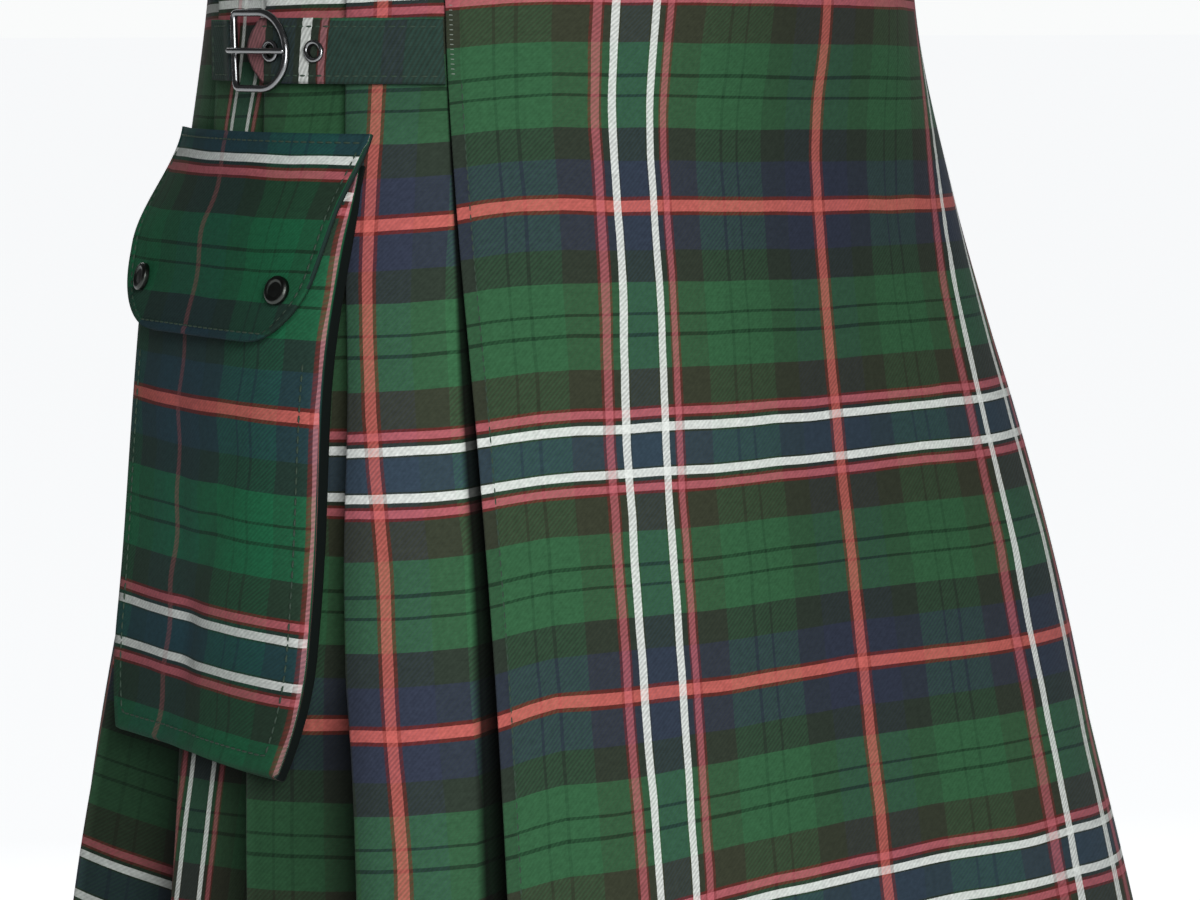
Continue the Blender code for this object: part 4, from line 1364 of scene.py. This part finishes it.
def build_snaps():
    """Ring snaps: a low drum with a rolled rim and a shallow dished middle."""
    drum = SNAP_HEIGHT * SNAP_DRUM
    for name, side in (("snap_front", 1), ("snap_back", -1)):
        sizes = {"vertices": 48, "radius": SNAP_RADIUS, "depth": drum, "location": (0, 0, drum / 2)}
        cap = new_shape(name + "_cap", bpy.ops.mesh.primitive_cylinder_add, **sizes)
        make_active(cap)
        bpy.ops.object.transform_apply(location=True, rotation=True, scale=True)
        bpy.ops.object.mode_set(mode="EDIT")
        bpy.ops.mesh.select_mode(type="FACE")
        bpy.ops.mesh.select_all(action="DESELECT")
        bpy.ops.object.mode_set(mode="OBJECT")
        max(cap.data.polygons, key=lambda face: face.center.z).select = True
        bpy.ops.object.mode_set(mode="EDIT")
        for thickness, depth in SNAP_RINGS:
            bpy.ops.mesh.inset(thickness=SNAP_RADIUS * thickness, depth=SNAP_HEIGHT * depth)
        bpy.ops.object.mode_set(mode="OBJECT")
        rounding = cap.modifiers.new("Rounding", "BEVEL")
        rounding.width = SNAP_ROUNDING
        rounding.segments = 3
        rounding.limit_method = "ANGLE"
        rounding.angle_limit = math.radians(20)
        apply_modifiers(cap)
        aside = side * SNAP_SPACING / 2
        arc = pocket_centre(SNAP_LEVEL) + aside
        clear = FLAP_CLOTH / 2
        outs = [float(flap_out(aside, SNAP_LEVEL + rise)) + clear + SEAM_GAP for rise in (0.0, 0.001)]
        here = place(arc, SNAP_LEVEL, outs[0])
        along = unit(place(arc + 0.001, SNAP_LEVEL, outs[0]) - here)
        up = place(arc, SNAP_LEVEL + 0.001, outs[1]) - here
        up = unit(up - along * np.dot(up, along))
        seat(cap, (here, along, up, np.cross(along, up)), SNAP_LIFT, BLACK_NICKEL)
        cap.data.shade_smooth()
        finish_piece(cap, name, slot="snap_metal")


# ---------------------------------------------------------------- top-stitching


def on_apron(arc, height):
    return arc, height, float(apron_face(arc, height)) + CLOTH / 2


def on_tab(arc, height):
    return arc, height, float(tab_out(arc)) + STRAP_CLOTH / 2


def on_flap(aside, height):
    drawn_in = float(flap_places(np.array(aside), height))
    return pocket_centre(height) + drawn_in, height, float(flap_face(aside, height)) + FLAP_CLOTH / 2


def on_bag(aside, height):
    across = np.array(aside / bag_half_width(height))
    drawn_in = float(bag_places(across, height))
    out = POCKET_CLOTH + LAY_GAP + float(pocket_out(across, height))
    return pocket_centre(height) + drawn_in, height, out


def around_pocket(on_face, half_width, seam, heights, foot_count):
    """A route down a pocket piece's front edge, along its foot, and up its back."""
    foot = heights[-1]
    corner = half_width(foot) - seam
    route = [on_face(half_width(height) - seam, height) for height in heights]
    route += [on_face(aside, foot) for aside in np.linspace(corner, -corner, foot_count)[1:-1]]
    return route + [on_face(-half_width(height) + seam, height) for height in heights[::-1]]


def stitch_apron_and_hem():
    # The apron's free edge: pale bar stitches where it is sewn down, dark ones below.
    near, far = (APRON_FREE_EDGE + inward for inward in BAR_ENDS)
    bars = [[(near, height, 0.0), (far, height - 0.0002, 0.0)] for height in np.arange(*BAR_HEIGHTS)]
    finish_piece(sew("apron_edge_bars", bars, BAR_CLEAR, THREAD_PALE), slot="tartan")
    hem_height = HEM + HEM_SEAM
    hem_arcs = np.linspace(APRON_FREE_EDGE + 0.003, left_fold(hem_height) - 0.002, 90)
    routes = [
        [on_apron(APRON_FREE_EDGE + EDGE_SEAM, height) for height in np.linspace(-0.058, HEM + 0.004, 140)],
        [on_apron(arc, hem_height) for arc in hem_arcs],
    ]
    # The hem across each pleat's face.
    edges = pleat_edges(hem_height)
    for pleat, (left, right) in enumerate(zip(edges, edges[1:])):
        first, slope, bulge = 0.10, layer_step(hem_height), FACE_BULGE
        if pleat == 0:
            first, slope, bulge = 0.34, 0.0002, FIRST_FACE_BULGE
        width = right - left
        parts = np.linspace(first, 1 - 0.003 / width, 16)
        sunk = 2 * slope * (1 - parts) - bulge * 4 * parts * (1 - parts)
        arcs = APRON_FREE_EDGE - left - parts * width
        routes.append([(arc, hem_height, -deep) for arc, deep in zip(arcs, sunk)])
    finish_piece(sew("hem_and_edge_stitches", routes, STITCH_CLEAR, THREAD_DARK), slot="tartan")


def stitch_waistband():
    distances = np.linspace(0.062, ring_length(WAIST_SEAM) + 0.001, 240)
    outs = band_out(distances) + BAND_CLOTH / 2
    band = [
        [(APRON_FREE_EDGE - distance, height, out) for distance, out in zip(distances, outs)]
        for height in (TOP_EDGE - BAND_SEAM, WAIST_SEAM + BAND_SEAM)
    ]
    finish_piece(sew("waistband_stitches", band, STITCH_CLEAR, THREAD_DARK), slot="tartan")


def stitch_strap_and_tab():
    out, middle = STRAP_CLOTH + LAY_GAP, STRAP_MID_HEIGHT
    strap_arcs = np.linspace(APRON_FREE_EDGE - 0.002, STRAP_TIP + 0.007, 19)
    tab_arcs = np.linspace(TAB_START - 0.003, TAB_END + 0.002, 8)
    strap_heights, tab_heights = (
        [middle + side * seam * width / 2 for side in (1, -1)]
        for seam, width in ((STRAP_SEAM, STRAP_WIDTH), (TAB_SEAM, TAB_WIDTH))
    )
    sunk, tip = out - STRAP_SEAM_DEPTH, STRAP_TIP + 0.004
    rows = [
        *([(arc, height, sunk) for arc in strap_arcs] for height in strap_heights),
        [(tip + 0.0038 * abs(side), middle + 0.009 * side, sunk) for side in np.linspace(-1, 1, 9)],
        *([on_tab(arc, height) for arc in tab_arcs] for height in tab_heights),
        [(TAB_END + 0.002, middle + 0.009 * side, out) for side in np.linspace(-1, 1, 8)],
    ]
    finish_piece(sew("strap_and_tab_stitches", rows, STRAP_STITCH_CLEAR, THREAD_DARK), slot="tartan_strap")


def stitch_pocket():
    flap_heights = np.linspace(FLAP_TOP - 0.006, FLAP_BOTTOM + RIM_SEAM, 34)
    bag_heights = np.linspace(-0.160, POCKET_BOTTOM + BAG_SEAM, 40)
    routes = [
        around_pocket(on_flap, flap_half_width, RIM_SEAM, flap_heights, 26),
        [on_flap(aside, FLAP_TOP - 0.0030) for aside in np.linspace(0.064, -0.064, 30)],
        around_pocket(on_bag, bag_half_width, BAG_SEAM, bag_heights, 36),
    ]
    finish_piece(sew("pocket_stitches", routes, STITCH_CLEAR, THREAD_DARK), slot="tartan_pocket")


# ---------------------------------------------------------------- studio

# Each lamp's place, size and power.
LAMPS = {
    "Key": ((-0.80, -2.54, 0.60), 1.4, 64.0),
    "Fill": ((1.60, -2.20, 0.40), 2.2, 1.5),
    "Back": ((0.95, 2.3, 0.9), 1.8, 26.0),
}
LAMPS_AIM = Vector((0, 0, -0.25))


def add_to_scene(name, data, location, rotation):
    held = bpy.data.objects.new(name, data)
    held.location = location
    held.rotation_euler = rotation
    scene.collection.objects.link(held)
    return held


def build_studio():
    plane = {"size": 400.0, "location": (0.0, 0.0, -1.12)}
    floor = new_shape("studio_floor", bpy.ops.mesh.primitive_plane_add, **plane)
    pale, tree, shader = new_finish("Pale_floor")
    looks = {
        "Base Color": (0.90, 0.91, 0.92, 1.0),
        "Roughness": 0.8,
        "Emission Color": (0.955, 0.965, 0.975, 1.0),
        "Emission Strength": 0.905,
    }
    feed(tree, shader, looks)
    floor.data.materials.append(pale)
    floor.visible_diffuse = False

    # The world lights the kilt weakly, and is seen bright behind it.
    world = bpy.data.worlds.new("Studio")
    scene.world = world
    world.use_nodes = True
    tree = world.node_tree
    plain = tree.nodes["Background"]
    feed(tree, plain, {"Color": (0.96, 0.98, 1.0, 1.0), "Strength": 0.08})
    seen = node(tree, "Background", {"Color": (0.955, 0.965, 0.965, 1.0), "Strength": 1.0})
    from_camera = node(tree, "LightPath", {}).outputs["Is Camera Ray"]
    either = node(tree, "MixShader", {0: from_camera, 1: plain.outputs[0], 2: seen.outputs[0]})
    feed(tree, tree.nodes["World Output"], {"Surface": either.outputs[0]})

    for name, (where, size, power) in LAMPS.items():
        lamp = bpy.data.lights.new(name, "AREA")
        lamp.shape = "SQUARE"
        lamp.size = size
        lamp.energy = power
        add_to_scene(name, lamp, where, (LAMPS_AIM - Vector(where)).to_track_quat("-Z", "Y").to_euler())

    camera = bpy.data.cameras.new("Camera")
    camera.sensor_width = 36.0
    camera.sensor_fit = "HORIZONTAL"
    camera.lens = 111.84
    aim = (math.radians(83.4), 0.0, math.radians(-30.0))
    scene.camera = add_to_scene("Camera", camera, (-0.7439, -1.3150, -0.0350), aim)
    scene.view_settings.view_transform = "Standard"
    scene.view_settings.look = "None"


build_waistband()
build_apron_outer()
build_apron_under()
build_skirt()
build_strap()
build_tab()
build_buckle_frame()
build_prong()
build_eyelets()
build_pocket_bag()
build_flap()
build_snaps()
stitch_apron_and_hem()
stitch_waistband()
stitch_strap_and_tab()
stitch_pocket()
build_studio()
